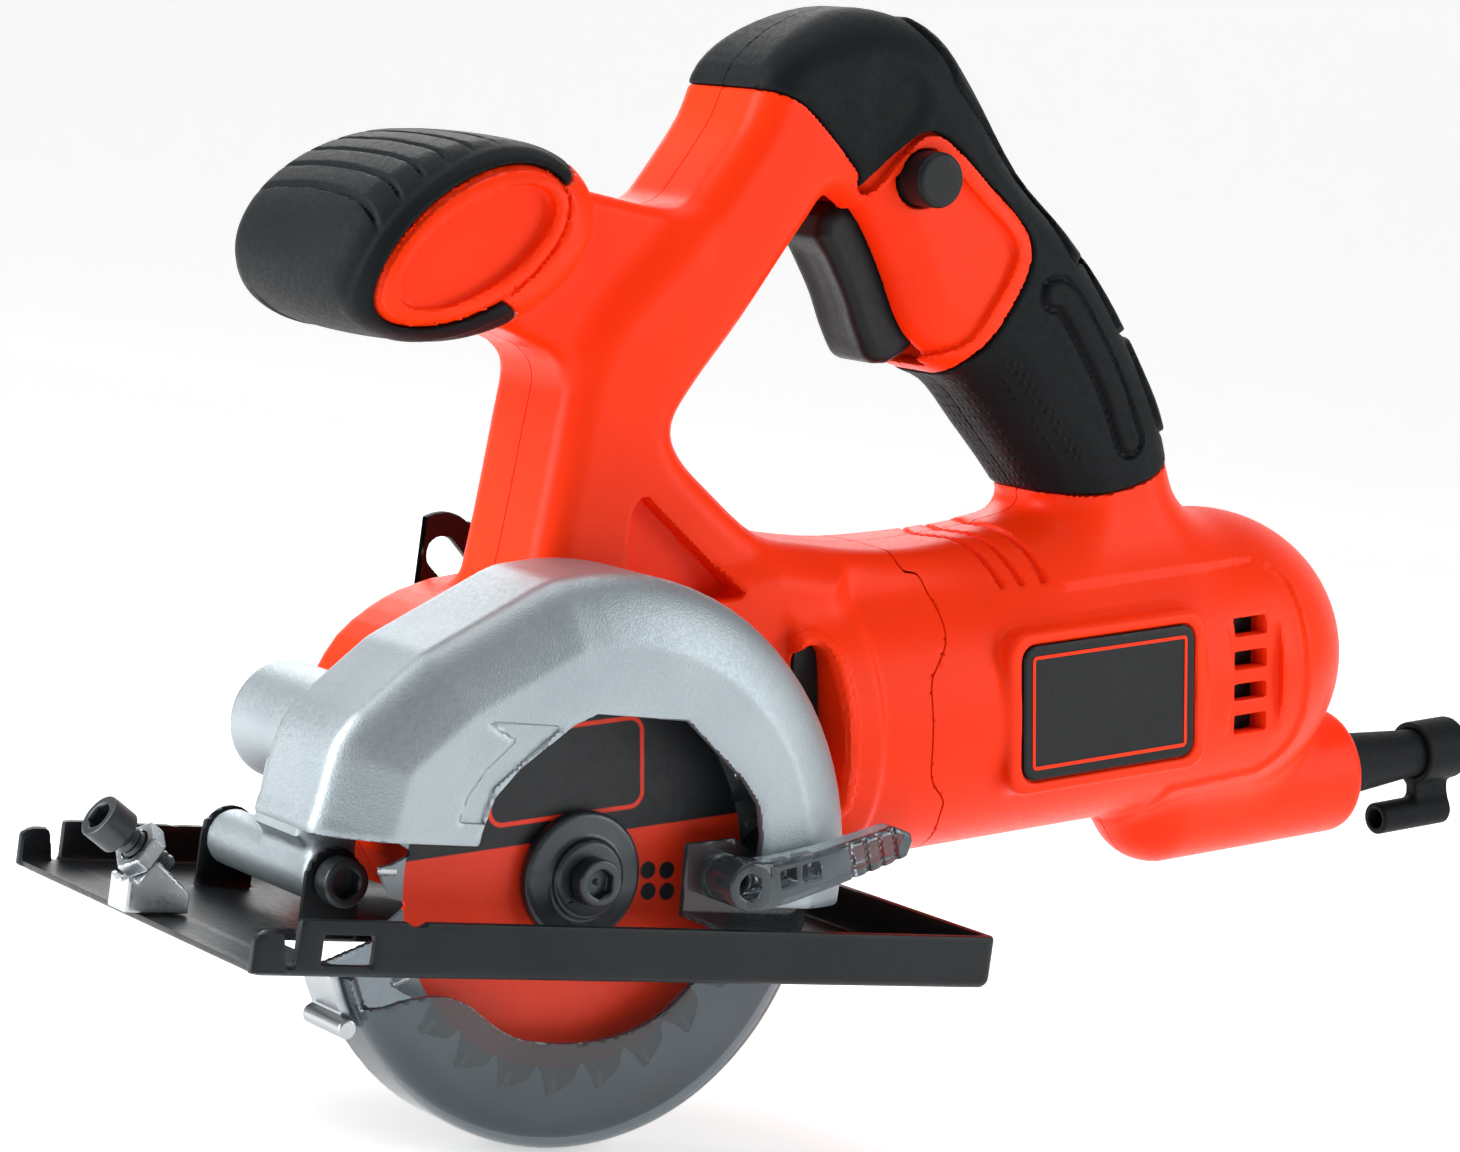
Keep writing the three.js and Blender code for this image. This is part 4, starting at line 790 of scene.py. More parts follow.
def is_rear(u, y, w):
    """Below zero behind the round seam."""
    return within(u, w, REAR_ZONE) + SEAM


def is_front(u, y, w):
    """Below zero in front of the round seam, with a gap of twice SEAM to the rear."""
    return SEAM - within(u, w, REAR_ZONE)


def mirrored(low, high, sign):
    """The span from low to high on the near side, or its mirror image on the far side."""
    return (low, high) if sign > 0 else (-high, -low)


SIDES = (("near", 1), ("far", -1))
for side, sign in SIDES:
    half = lambda u, y, w, sign=sign: sign * y + GAP
    for end, box_u, box_w, part in (("front", (-46, 172), (-28, 162), is_front),
            ("rear", (86, 224), (-33, 68), is_rear)):
        points, faces = skin(shell, (box_u, mirrored(-33.1, 1.7, sign), box_w), STEP, (half, part))
        piece(f"shell_{side}_{end}", points, faces, "body", "housing", "orange_shell",
            [f"housing_{side}"])

# %% [markdown]
# ## Rubber
# The grip's cover is a skin round the handle, from the bend down the back, with a tongue in front of the
# window. Its back has three raised pads, its side a long hoop and a field of small dots that help the
# hand. The knob's cap has six grooves across it.

# %% The drawing on the grip
PADS = [
    np.array([(100.6, 156), (105.0, 146.2), (105.2, 141.7), (107.4, 138.8), (114.0, 133.6), (125.9, 121.8),
        (133.7, 114.4), (135.7, 108.9), (136.3, 104.6), (139.2, 102.4), (146, 108), (130, 150)]),
    np.array([(141.2, 108), (143.9, 104.6), (144.9, 98.7), (149.4, 88.6), (152.6, 88.4), (162, 90),
        (152, 112)]),
    np.array([(152.6, 86.4), (154.4, 83.6), (155.6, 77.5), (158.6, 67.9), (161.2, 66.7), (174, 66),
        (168, 90)])]
HOOP = curve([(130.6, 98.6), (133.2, 98.0), (138.0, 91.6), (145.4, 79.0), (150.4, 66.6)], 4)
DOTS = curve([(126, 91.4), (131.2, 91.8), (135.6, 87.6), (143.4, 70.0), (142.3, 63.6), (128.7, 62.0),
    (121.0, 73.6), (116.5, 81.0), (119.6, 87.6)], 3, closed=True)
FACET = curve([(84.6, 150.6), (97.4, 146.6), (100.4, 138.0), (92, 127.4), (83.2, 123.4), (82.0, 134)], 4,
    closed=True)


def to_line(u, w, points):
    """Distance to an open line of points."""
    near = np.full(np.broadcast(u, w).shape, 1e6, np.float32)
    for (u0, w0), (u1, w1) in zip(points[:-1], points[1:]):
        du, dw = u1 - u0, w1 - w0
        t = np.clip(((u - u0) * du + (w - w0) * dw) / (du * du + dw * dw), 0, 1)
        near = np.minimum(near, np.hypot(u - u0 - t * du, w - w0 - t * dw))
    return near


print(f"{len(PADS)} pads, and a hoop {np.linalg.norm(np.diff(HOOP, axis=0), axis=1).sum():.0f} mm long")

# %% The cover of the grip
def cover(u, y, w):
    """A skin 2.5 mm thick on the frame: raised pads on its back, a shallow facet and a hoop on its
    sides, and an opening for the window."""
    core = frame_part(u, y, w)
    pads = np.minimum.reduce([within(u, w, pad) for pad in PADS])
    pads = pads + 0.10 * np.maximum(np.abs(y) - 9, 0) ** 2
    side = rise(np.abs(y), 11.5, 14.0)
    lift = 0.85 * (1 - rise(pads, -0.4, 0.4)) - 0.85 * rise(1.1 - np.abs(pads - 0.7), 0.2, 1.0)
    strip = to_line(u, w, HOOP)
    lift = lift + side * (0.5 * rise(2.6 - strip, 0, 0.8) - 0.9 * rise(1.0 - np.abs(strip - 3.2), 0, 0.8))
    lift = lift - 0.8 * side * rise(-within(u, w, FACET), 0.2, 5.0)
    outside = core - 0.3 - lift
    edge = np.maximum(within(u, w, COVER_SIDE) + 0.25, -within(u, w, WINDOW) + 0.35)
    return overlap(np.maximum(outside, -core - 2.2), edge, 0.9)


def dot_share(points):
    """1 where the rubber is dotted, on its sides and under the hand opening, and 0 elsewhere."""
    u, y, w = points.T
    side = rise(-within(u, w, DOTS), 0.3, 1.6) * rise(np.abs(y), 13.4, 14.6)
    under = rise(-within(u, w, HAND_HOLE), -2.4, -0.2) * rise(88.0 - w, 0, 3) * rise(u, 104, 107)
    return np.maximum(side, under)


for side, sign in SIDES:
    half = lambda u, y, w, sign=sign: sign * y + 0.12
    add(f"grip_skin_{side}", cover, ((42, 176), mirrored(-18.8, 1.5, sign), (50, 161)), 0.72, "body",
        "housing", "grip_rubber", [f"grip_cover_{side}"], (half,), dot_share)

# %% The cap of the knob
GROOVES = np.array([-31.0, -25.2, -19.4, -13.6, -7.8, -2.0])


def cap(u, y, w):
    """The knob's rubber. Six grooves run over its top from end to end; they fade out towards its
    front and before its plain edge band."""
    ball = knob(u, y, w)
    band = -np.maximum(end_oval(u, w, 1.4), 20 - np.abs(y))
    zone = np.maximum(within(u, w, CAP_SIDE) + 0.25, band + 0.2)
    top = rise(w - 0.30 * u, 112, 121) * rise(-band, 3.4, 4.8)
    cut = np.min([np.abs(u + 0.16 * (w - 130) - g + 0.0024 * y**2) for g in GROOVES], axis=0)
    groove = 0.95 * top * (1 - rise(cut, 0.1, 0.75))
    step = 0.35 * rise(-band, 3.0, 3.8)
    return overlap(np.maximum(ball - 0.35 + groove + step, -ball - 1.6), zone, 1.3)


add("cap_skin", cap, ((-42, 16), (-30.5, 30.5), (94, 142)), 0.528, "body", "housing", "grip_rubber",
    ["knob_cap"])

# %% [markdown]
# ## Small parts on the body
# Each small part is again a field, on a finer grid: a screw is a round bar less a six-sided socket, the
# cord's outlet is a row of cones, and the label is a plate with a thin raised line and nothing written.

# %% Label and rating plate
PLATE_Y = 29.95


def label_flat(u, w):
    """Distance to the label's outline, which leaves a gap of 0.4 mm in its bed."""
    return rounded(u, w, span(LABEL["u"], -0.4, -0.4), span(LABEL["w"], -0.4, -0.4), 3.2)


add("label", lambda u, y, w: overlap(label_flat(u, w), np.abs(y + PLATE_Y) - 0.75, 0.6),
    ((110.5, 158.7), (-31.4, -28.4), (-0.6, 30.8)), 0.5, "body", "housing", "black_plastic",
    ["label_plate"])
add("rating", lambda u, y, w: overlap(rounded(u, w, (112.6, 156.4), (5.6, 24.9), 2),
    np.abs(y - PLATE_Y) - 0.75, 0.6), ((111.5, 157.5), (28.4, 31.4), (4.6, 26)), 0.6, "body", "housing",
    "black_plastic", ["rating_plate"])


def frame_line(u, y, w):
    """A thin line in the shell's colour, 2.5 mm inside the label's edge and just proud of it."""
    return np.maximum(np.abs(label_flat(u, w) + 2.5) - 0.38, np.abs(y + 30.75) - 0.12)


add("label_line", frame_line, ((110.5, 158.7), (-31.4, -30.2), (-0.6, 30.8)), 0.22, "body", "housing",
    "orange_shell", ["label_plate"])

# %% Screws
def cap_screw(a, b, along, head_r, head_l, shank_r, length, socket):
    """A cap screw whose head's top is at 0 and which runs towards greater 'along'."""
    head = drum(a, b, head_r, along, 0, head_l, 0.45)
    shank = drum(a, b, shank_r, along, head_l - 1, length, 0.3)
    dish = np.maximum(hexagon(a, b, socket), along - head_l * 0.62)
    lead = np.hypot(a, b) - socket - 0.4 + along
    return carve(carve(np.minimum(head, shank), dish, 0.2), lead, 0.2)


for i, (su, sw) in enumerate(SCREWS):
    field = lambda u, y, w, su=su, sw=sw: cap_screw(u - su, w - sw, 13.5 - y, 3.35, 2.4, 1.7, 21.5, 1.7)
    add(f"shell_screw_{i + 1}", field, ((su - 4, su + 4), (-9, 14.5), (sw - 4, sw + 4)), 0.35, "body",
        "housing", "dark_steel", [f"housing_screw_{i + 1}"])

# %% Trigger and button
TRIGGER_SIDE = np.vstack([
    curve([(78.3, 112.6), (81.5, 107), (85, 100), (87.4, 93.4), (90.2, 87.8), (92.4, 86.2)], 4),
    curve([(95.6, 86.0), (101, 88.6), (104.3, 92.4), (104.1, 95.0), (99, 103), (90.5, 118.2)], 3),
    [(84, 119.4), (79.4, 117)]])


def trigger(u, y, w):
    """The trigger: its front is a broad round over its sides, with a shallow hollow for the finger."""
    front = within(u, w, TRIGGER_SIDE)
    hollow = 0.9 * rise(7.5 - np.abs(y), 0, 6) * rise(w, 88, 92) * rise(112 - w, 0, 4)
    nose = rise(94.5 - u, 0, 10)
    return prism(front + hollow * nose, y, 7.9, 2.8)


add("trigger_blade", trigger, ((76, 107), (-9, 9), (84, 121.5)), 0.5, "body", "trigger", "black_plastic",
    ["trigger"])
add("button", lambda u, y, w: np.minimum(drum(u - BUTTON[0], w - BUTTON[1], 5.6, y, -21.8, -11, 1.0),
    drum(u - BUTTON[0], w - BUTTON[1], 3.0, y, -12, 0, 0.3)), ((91.8, 104.6), (-23, 1), (117.6, 130.4)),
    0.45, "body", "lock_off_button", "black_plastic", ["lock_off_button"])

# %% Black blocks of painted shade behind the vents and the slot
def painted_shade_block(u, y, w):
    """A black block at the bottom of the cavity behind each row of vents: painted shade, standing in for
    the dark inside of the motor that shows through them.
    """
    deep = MOTOR_HALF - np.abs(y)
    side = rounded(u, w, span(VENT["u"], 0.4, 0.4), (VENT["foot"] - 0.4, VENT["foot"] + 25.2), 0.8)
    return np.maximum(side, np.abs(deep - 8.7) - 1.1)


add("vent_painted_shade", painted_shade_block, ((169, 181), (-24.5, 24.5), (1, 31)), 0.6, "body", "housing", "black_plastic",
    ["housing_near"])
# The black block behind the rimmed slot is painted shade as well: it darkens the slot as the shade inside
# the housing would.
add("slot_painted_shade", lambda u, y, w: np.maximum(within(u, w, SLOT_SIDE) + 0.2, np.abs(y + 19) - 2.8),
    ((60, 69.5), (-22.6, -15.5), (0.5, 35.4)), 0.5, "body", "housing", "black_plastic", ["housing_near"])

# %% The cord's outlet and the key holder
CORD_W, KEY_W = -15.5, -29.4


def outlet(u, y, w):
    """A cone that keeps the cord from bending sharply, with a ringed foot and an open end."""
    r = np.hypot(y, w - CORD_W)
    wide = np.interp(np.asarray(u, float), [210, 222.4, 223.2, 225, 244, 259],
        [8.2, 8.2, 7.2, 7.1, 5.5, 5.35])
    body = overlap(r - wide, np.abs(u - 237.5) - 21.5, 0.5)
    return carve(body, np.maximum(r - 3.6, 201 - u), 0.5)


def holder(u, y, w):
    """A ring round the outlet with a tube under it, where the hexagon key is kept."""
    r = np.hypot(y, w - CORD_W)
    ring = overlap(np.abs(r - 6.35) - 0.7, np.abs(u - 252.2) - 5.7, 0.5)
    ring = np.maximum(np.minimum(ring, overlap(r - 6.95, np.abs(u - 257.2) - 0.9, 0.4)), 5.7 - r)
    web = prism(np.maximum(np.abs(u - 251.6) - 4.9, np.abs(w + 25.0) - 3.3), y, 1.7, 0.5)
    web = np.maximum(web, 5.75 - r)
    tube = drum(y, w - KEY_W, 3.6, u, 236, 256, 0.5)
    whole = blend(blend(ring, web, 1.2), tube, 1.5)
    return carve(whole, np.maximum(np.hypot(y, w - KEY_W) - 2.2, np.abs(u - 246) - 12), 0.4)


add("outlet", outlet, ((214, 261), (-9, 9), (-25, -6)), 0.5, "body", "housing", "grip_rubber",
    ["strain_relief"])
add("holder", holder, ((234, 261), (-8, 8), (-34, -7.6)), 0.42, "body", "housing", "grip_rubber",
    ["key_holder"])

# %% [markdown]
# ## Blade
# The blade is a steel disc with 24 teeth. A tooth has a hooked face, a sloping back and a round gullet.
# The pattern repeats, so a point is first turned back into the first tooth's share of the circle. The
# paint is orange below and black above, with a plain outlined panel and four dots, and nothing written.

# %% The blade
TEETH, BORE_R = 24, 5.0
TOOTH = np.array([(BLADE_R, 0.0), (BLADE_R - 1.5, 4.6), (BLADE_R - 3.2, 8.2), (BLADE_R - 5.6, 9.4),
    (BLADE_R - 6.0, 10.9), (BLADE_R - 5.0, 12.1), (BLADE_R - 2.6, 14.1)])


def blade_flat(x, z):
    """Distance to the toothed outline in the side view, within one tooth's share of the circle."""
    r = np.hypot(x, z)
    turn = np.degrees(np.arctan2(z, x)) % (360 / TEETH)
    edge = np.interp(turn, [*TOOTH[:, 1], 15.0], [*TOOTH[:, 0], BLADE_R])
    return (r - edge) * 0.55


near_side = lambda x, y, z: BLADE_Y - 0.55 - y
far_side = lambda x, y, z: y - BLADE_Y - 0.55
round_hole = lambda x, y, z: BORE_R - np.hypot(x, z)
add("blade", lambda x, y, z: blade_flat(x, z), ((-43.2, 43.2), (BLADE_Y - 1.2, BLADE_Y + 1.2),
    (-43.2, 43.2)), 0.45, "casting", "blade", "blade_paint", ["saw_blade"],
    (near_side, far_side, round_hole))


def tips(x, y, z):
    """Small carbide blocks brazed into the front of every tooth."""
    share = 2 * math.pi / TEETH
    turn = (np.arctan2(z, x) + 0.05) % share - 0.05
    r = np.hypot(x, z)
    a, b = r * np.cos(turn), r * np.sin(turn)
    return np.maximum(np.maximum(np.abs(a - BLADE_R + 1.9) - 1.75, np.abs(b - 0.75) - 0.65),
        np.abs(y - BLADE_Y) - 0.8)


add("blade_tips", tips, ((-43.2, 43.2), (BLADE_Y - 1.3, BLADE_Y + 1.3), (-43.2, 43.2)), 0.4, "casting",
    "blade", "bare_steel", ["saw_blade"])

# %% Flanges and bolt
def turned(profile):
    """The field of a turned part about the spindle: profile is its outline as (radius, y) points."""
    return lambda x, y, z: within(np.hypot(x, z), y, np.array(profile))


INNER = [(5, -37.1), (12.2, -37.1), (12.6, -36.7), (12.6, -34.5), (12.2, -34.1), (5, -34.1)]
OUTER = [(2.7, -43.9), (6.9, -43.9), (7.6, -43.3), (7.6, -42.4), (8.2, -41.9), (11.9, -41.7),
    (12.6, -41.1), (12.6, -39.3), (12.2, -38.9), (2.7, -38.9)]
add("flange_in", turned(INNER), ((-13.2, 13.2), (-37.8, -33.4), (-13.2, 13.2)), 0.4, "casting", "blade",
    "dark_steel", ["inner_flange"])
add("flange_out", turned(OUTER), ((-13.2, 13.2), (-44.6, -38.2), (-13.2, 13.2)), 0.35, "casting", "blade",
    "dark_steel", ["outer_flange"])
add("bolt", lambda x, y, z: cap_screw(x, z, y + 47.8, 4.6, 3.6, 2.4, 23.8, 2.5),
    ((-5.2, 5.2), (-48.6, -23), (-5.2, 5.2)), 0.3, "casting", "blade", "dark_steel", ["blade_bolt"])

# %% [markdown]
# ## Upper guard
# The guard is a casting in one: a flat near face that rounds back into a band, a wall behind the blade,
# a boss for the spindle, the dust spout, and the arm with the barrel of the depth hinge.

# %% Side views of the casting
NEAR, BACK, WALL = -51.0, -21.0, 2.4
HINGE, SPOUT = (-43, -5), (-33, 18)
FACE = np.vstack([[(-48.4, 5.9), (-47.9, 7.6), (-46.0, 19.0), (-45.0, 20.4), (-34.2, 30.6), (-13.6, 43.2),
    (-12.4, 43.8)], arc(0, 0, 45.5, 98, -12, 24), [(30, -14), (-40, -14)]])
GUARD_WINDOW = np.array([(-29.6, 3), (-29.2, 9), (-27.4, 15.7), (-22.9, 21.3), (-12.4, 29.9),
    (-7.7, 32.2), (12.8, 31.9), (27.4, 21.1), (31.6, 16.3), (33.1, 10.4), (34, -16), (-29, -16)])
ARROW = np.array([(-34.4, 11), (-33.0, 16.0), (-30.0, 20.8), (-24.4, 26.6), (-31.0, 29.4), (-15.0, 29.6),
    (-21.4, 23.6), (-27.8, 17.8), (-29.6, 11)])
LEG_SIDE = np.array([(-49, 14), (-41, 17), (-36, 12), (-37.5, -2), (-40, -2), (-45, -2), (-50, 2)])
BACK_SIDE = np.vstack([[(-37, 6.7), (-40, 19), (-30, 34), (-13, 48)], arc(0, 0, 54.5, 95, 0, 18),
    [(18, -3), (10, -13.5), (-12, -13.5), (-22, 6.7)]])
print(f"the guard is {BACK - NEAR:.0f} mm deep with walls of {WALL} mm")

# %% The casting
def hood(x, y, z, wall):
    """The face and its band. Behind the face the outline grows as a quarter of an ellipse that is
    drawn in towards the face, 9 mm deep and 12.5 mm wide; then the band runs straight back."""
    flat = within(x, z, FACE)
    wide, deep = 12.5 - wall, 9.0
    t = np.maximum(NEAR + wall + deep - y, 0)
    a, b = np.maximum(flat, 0) / wide, t / deep
    fall = a + 0.6 * b * b
    q = np.hypot(fall, 0.8 * b) + 1e-6
    grown = (q - 1) * q / (np.hypot(fall / wide, (1.2 * fall + 0.64) * b / deep) + 1e-6)
    return np.where(flat > 0, grown, NEAR + wall - y)


def guard(x, y, z):
    """The hood less a smaller hood, with its back wall, spindle boss, dust spout, arm and hinge barrel
    blended on, and then its window, arrow and bores cut."""
    outer, inner = hood(x, y, z, 0.0), hood(x, y, z, WALL)
    back = y - BACK
    outer = overlap(outer, back, 1.6)
    shell_of = carve(outer, overlap(inner, back + WALL, 2.0), 0.5)
    trim = np.minimum(np.maximum(z - 6.7, x - 22), np.maximum(z + 3.0, 22 - x))
    shell_of = carve(shell_of, trim, 0.8)
    wall = prism(within(x, z, BACK_SIDE), y - BACK + WALL / 2, WALL / 2, 0.8)
    whole = np.minimum(shell_of, np.maximum(wall, np.minimum(outer, np.hypot(x, z) - 22)))
    whole = blend(whole, drum(x, z, 14.2, y, -30.5, -20, 0.6), 1.2)
    spout, hinge = (x - SPOUT[0], z - SPOUT[1]), (x - HINGE[0], z - HINGE[1])
    whole = blend(whole, drum(*spout, 11.7, y, -22, 22, 1.0), 4.0)
    whole = blend(whole, prism(within(x, z, LEG_SIDE), y + 11.2, 9.8, 2.0), 4.0)
    whole = blend(whole, drum(*hinge, 5.5, y, -22, 18, 0.8), 3.0)
    for cut, k in ((np.maximum(within(x, z, GUARD_WINDOW), y - NEAR - WALL - 3), 0.7),
            (np.maximum(within(x, z, ARROW), y - NEAR - 0.7), 0.5),
            (np.maximum(np.hypot(*spout) - 9.7, -y - 23.5), 0.8),
            (np.maximum(np.hypot(x, z) - 11.3, y + 22.5), 0.4), (np.hypot(x, z) - 6.5, 0.4),
            (np.hypot(*hinge) - 2.5, 0.4),):
        whole = carve(whole, cut, k)
    return whole


add("guard_casting", guard, ((-64, 60), (-52, 23.5), (-16, 60)), 0.8, "casting", "housing", "cast_metal",
    ["upper_guard"])

# %% [markdown]
# ## Lower guard
# The lower guard is smoked and clear enough to show the teeth. It is part of a turned drum: a near wall
# with an opening, a band round the teeth and a wall behind them. Its lever stands out on a round post.

# %% The clear guard
LOWER_NEAR, LOWER_BACK, LOWER_R, LOWER_T = -46.3, -28.0, 52.0, 1.5
LIP = curve([(-52.5, -30), (-47.0, -26.6), (-41.5, -24.4), (-37.9, -23.0), (-30.9, -22.0), (-24.7, -23.4),
    (-18.9, -27.0), (-12.4, -29.8), (-3.5, -30.6), (5.2, -30.0), (13.4, -27.6), (20.5, -23.2),
    (27, -15.6), (30.2, -8), (32.5, -2.5)], 3)
MOUTH = np.vstack([LIP, [(70, 0), (70, 60), (-70, 60), (-70, -30)]])
LEVER_PAD = np.array([(19, 8), (30, 9.5), (36, 6), (48.6, 7.6), (50.4, 0), (44, -8), (30, -9), (20, -6)])


def lower(x, y, z):
    """A turned drum less its inside, cut by the mouth on its near wall and by a wedge above, with the
    ring round the hub and the pad under the lever."""
    r = np.hypot(x, z)
    drum_out = overlap(r - LOWER_R, LOWER_NEAR - y, 7.0)
    drum_in = overlap(r - LOWER_R + LOWER_T, LOWER_NEAR + LOWER_T - y, 6.2)
    shell_of = np.maximum(np.maximum(drum_out, -drum_in), y - LOWER_BACK)
    near_wall = np.maximum(shell_of, -within(x, z, MOUTH))
    band = np.maximum(np.maximum(shell_of, 49.4 - r), LOWER_NEAR + 4.5 - y)
    sheet = np.abs(y - LOWER_BACK + LOWER_T / 2) - LOWER_T / 2
    back = np.maximum(np.maximum(r - LOWER_R + 0.4, sheet), 14.5 - r)
    part = np.minimum(np.minimum(near_wall, band), back)
    part = np.maximum(part, wedge(x, z, -157, 12))
    hub = np.maximum(np.maximum(np.abs(r - 17.25) - 2.75, sheet), 14.5 - r)
    pad = prism(within(x, z, LEVER_PAD), y - LOWER_NEAR - LOWER_T / 2, LOWER_T / 2, 0.5)
    return np.minimum(np.minimum(part, hub), pad)


add("guard_clear", lower, ((-53.5, 53.5), (-47.2, -27), (-53.5, 22)), 0.62, "casting", "lower_guard",
    "smoked_plastic", ["lower_guard"])

# %% Its lever, stop and ring
POST = (26.7, 2.3)
LEVER_SIDE = np.vstack([curve([(26, 7), (31, 7.2), (37, 8.4), (44, 10.0)], 2),
    [(53, 12.8), (59, 14.8), (62.6, 13.8), (63.3, 12.2), (62.5, 9.2), (58, 7.2), (44, 2), (36, -0.8),
    (30, -2.4), (27, -2)]])


def lever(x, y, z):
    """The post and the thumb lever, ribbed at its end, with two pockets between post and lever."""
    post = drum(x - POST[0], z - POST[1], 4.6, y, -58, -46.6, 0.5)
    web = prism(within(x, z, LEVER_SIDE), y + 55, 3.0, 0.8)
    whole = blend(post, web, 1.0)
    for pocket in ([(33.0, 5.4), (36.6, 6.4), (37.2, 3.6), (33.8, 2.2)],
            [(38.0, 6.8), (42.2, 7.8), (42.6, 4.6), (38.4, 3.8)]):
        whole = carve(whole, np.maximum(within(x, z, np.array(pocket)), y + 53.5), 0.4)
    notch = np.maximum(np.abs((x + 0.35 * z - 50.5) % 3.6 - 1.8) - 0.55,
        np.abs(x + 0.35 * z - 58.2) - 7.2)
    whole = carve(whole, np.maximum(notch, y + 57.1), 0.3)
    return carve(whole, np.maximum(np.hypot(x - POST[0], z - POST[1]) - 2.5, y + 47.6), 0.4)


add("lever", lever, ((21, 65), (-59, -45.8), (-4, 16)), 0.42, "casting", "lower_guard", "smoked_plastic",
    ["guard_lever"])


def nose(x, y, z):
    """The steel stop at the front end of the clear guard, with its round pin."""
    r = np.hypot(x, z)
    strip = np.maximum(np.maximum(np.abs(r - 53.3) - 0.9, np.abs(y + 33.6) - 5.6),
        wedge(x, z, -158, -145))
    tip = math.radians(-148)
    pin = drum(x - 55.2 * math.cos(tip), z - 55.2 * math.sin(tip), 1.9, y, -42.3, -28, 0.4)
    return blend(strip, pin, 0.8)


add("nose", nose, ((-56, -40), (-43.2, -27), (-34, -15)), 0.35, "casting", "lower_guard", "bare_steel",
    ["guard_nose"])
add("retainer", lambda x, y, z: np.maximum(np.abs(np.hypot(x, z) - 13.9) - 2.3, np.abs(y + 31.25) - 0.45),
    ((-17, 17), (-32.2, -30.2), (-17, 17)), 0.4, "casting", "housing", "bare_steel", ["guard_retainer"])

# %% [markdown]
# ## Sole, hinge and depth bracket
# The sole is pressed from sheet: a plate with turned-up edges, a slot for the blade, and two lugs for the
# hinge of the depth setting. The bracket is an arc with a slot, riveted to the plate at its rear.

# %% The sole
def block_of(x, y, z, box, r=0.6):
    """A block from its corners, with its edges rounded by r."""
    a = [np.abs(c - (lo + hi) / 2) - (hi - lo) / 2 + r for c, (lo, hi) in zip((x, y, z), box)]
    outside = np.sqrt(sum(np.maximum(k, 0) ** 2 for k in a))
    return outside + np.minimum(np.maximum(np.maximum(a[0], a[1]), a[2]), 0) - r


PIN_X, PIN_Z = -43, 12
LUG = np.vstack([[(-49, 0.5), (-49, 12)], arc(-43, 12, 6, 170, 10, 8), [(-37, 12), (-37, 0.5)]])
TAB = np.array([(-75.8, 0.4), (-75.8, 7.0), (-73.4, 8.4), (-70.6, 8.4), (-69.6, 7.0), (-68.6, 0.4)])


def sole(x, y, z):
    """A tray less its inside, open in front, with tabs and lugs, and then its slot, its window and the
    hinge's bore cut."""
    tray = block_of(x, y, z, ((-75.5, 89), (-56, 43), (0, 13.5)), 2.2)
    inside = block_of(x, y, z, ((-90, 87), (-54, 41), (2, 20)), 1.0)
    sheet = np.maximum(tray, -inside)
    sheet = overlap(sheet, z - np.where(y > 0, 9.8, 10.5), 0.7)
    sheet = carve(sheet, np.maximum(x + 67, 2.0 - z), 0.6)
    for y0, y1 in ((-56, -54), (41, 43)):
        sheet = np.minimum(sheet, prism(within(x, z, TAB), y - (y0 + y1) / 2, 1.0, 0.5))
    sheet = blend(sheet, block_of(x, y, z, ((-65.5, -60.5), (41, 43), (0.4, 9.8)), 0.5), 0.5)
    slot = rounded(x, y, (-58, 60), (-52.5, -23), 3.0)
    window = np.maximum(np.maximum(np.abs(x + 56.75) - 5.25, np.abs(z - 5.05) - 2.75), y + 53.5)
    sheet = carve(carve(sheet, slot, 0.6), window, 0.4)
    for y0 in (-23.0, 19.0):
        sheet = blend(sheet, prism(within(x, z, LUG), y - y0, 0.7, 0.3), 0.8)
    return carve(sheet, np.hypot(x - PIN_X, z - PIN_Z) - 2.5, 0.3)


add("sole", sole, ((-77.5, 90.5), (-57.5, 44.5), (-1.5, 19.5)), 0.9, "sole", "sole", "black_steel",
    ["sole_plate"])

# %% Hinge, bracket and rivets
add("pin", lambda x, y, z: cap_screw(x - PIN_X, z - PIN_Z, y + 28.6, 4.6, 4.6, 2.1, 52.3, 2.5),
    ((-48.2, -37.8), (-29.4, 24.4), (6.8, 17.2)), 0.35, "sole", "sole", "dark_steel", ["hinge_pin"])


def pin_nut(x, y, z):
    """A hexagon with its corners turned off, less its bore."""
    r = np.hypot(x - PIN_X, z - PIN_Z)
    body = overlap(np.maximum(hexagon(x - PIN_X, z - PIN_Z, 3.9), r - 4.35), np.abs(y - 21.55) - 1.55,
        0.4)
    return carve(body, r - 2.55, 0.3)


add("nut", pin_nut, ((-48, -38), (19.4, 23.8), (7, 17)), 0.35, "sole", "sole", "dark_steel",
    ["hinge_nut"])


def bracket(x, y, z):
    """An arc of sheet about the hinge pin with a slot along its middle, and a foot at its lower end."""
    a, c = x - PIN_X, z - PIN_Z
    r = np.hypot(a, c)
    ends = [np.hypot(a - 73.5 * math.cos(t), c - 73.5 * math.sin(t)) for t in np.radians([10.5, 50.5])]
    strip = np.minimum(np.maximum(np.abs(r - 74) - 8.5, wedge(a, c, -6, 50.5)), ends[1] - 8.5)
    band = prism(strip, y - 32.4, 1.0, 0.45)
    slot = np.maximum(np.abs(r - 73.5) - 3.5, wedge(a, c, 10.5, 50.5))
    slot = np.minimum(slot, np.minimum(*ends) - 3.5)
    foot = block_of(x, y, z, ((18, 42), (23.4, 33.4), (2.3, 4.3)), 0.5)
    whole = blend(carve(band, slot, 0.4), foot, 0.8)
    return np.maximum(whole, 2.3 - z)


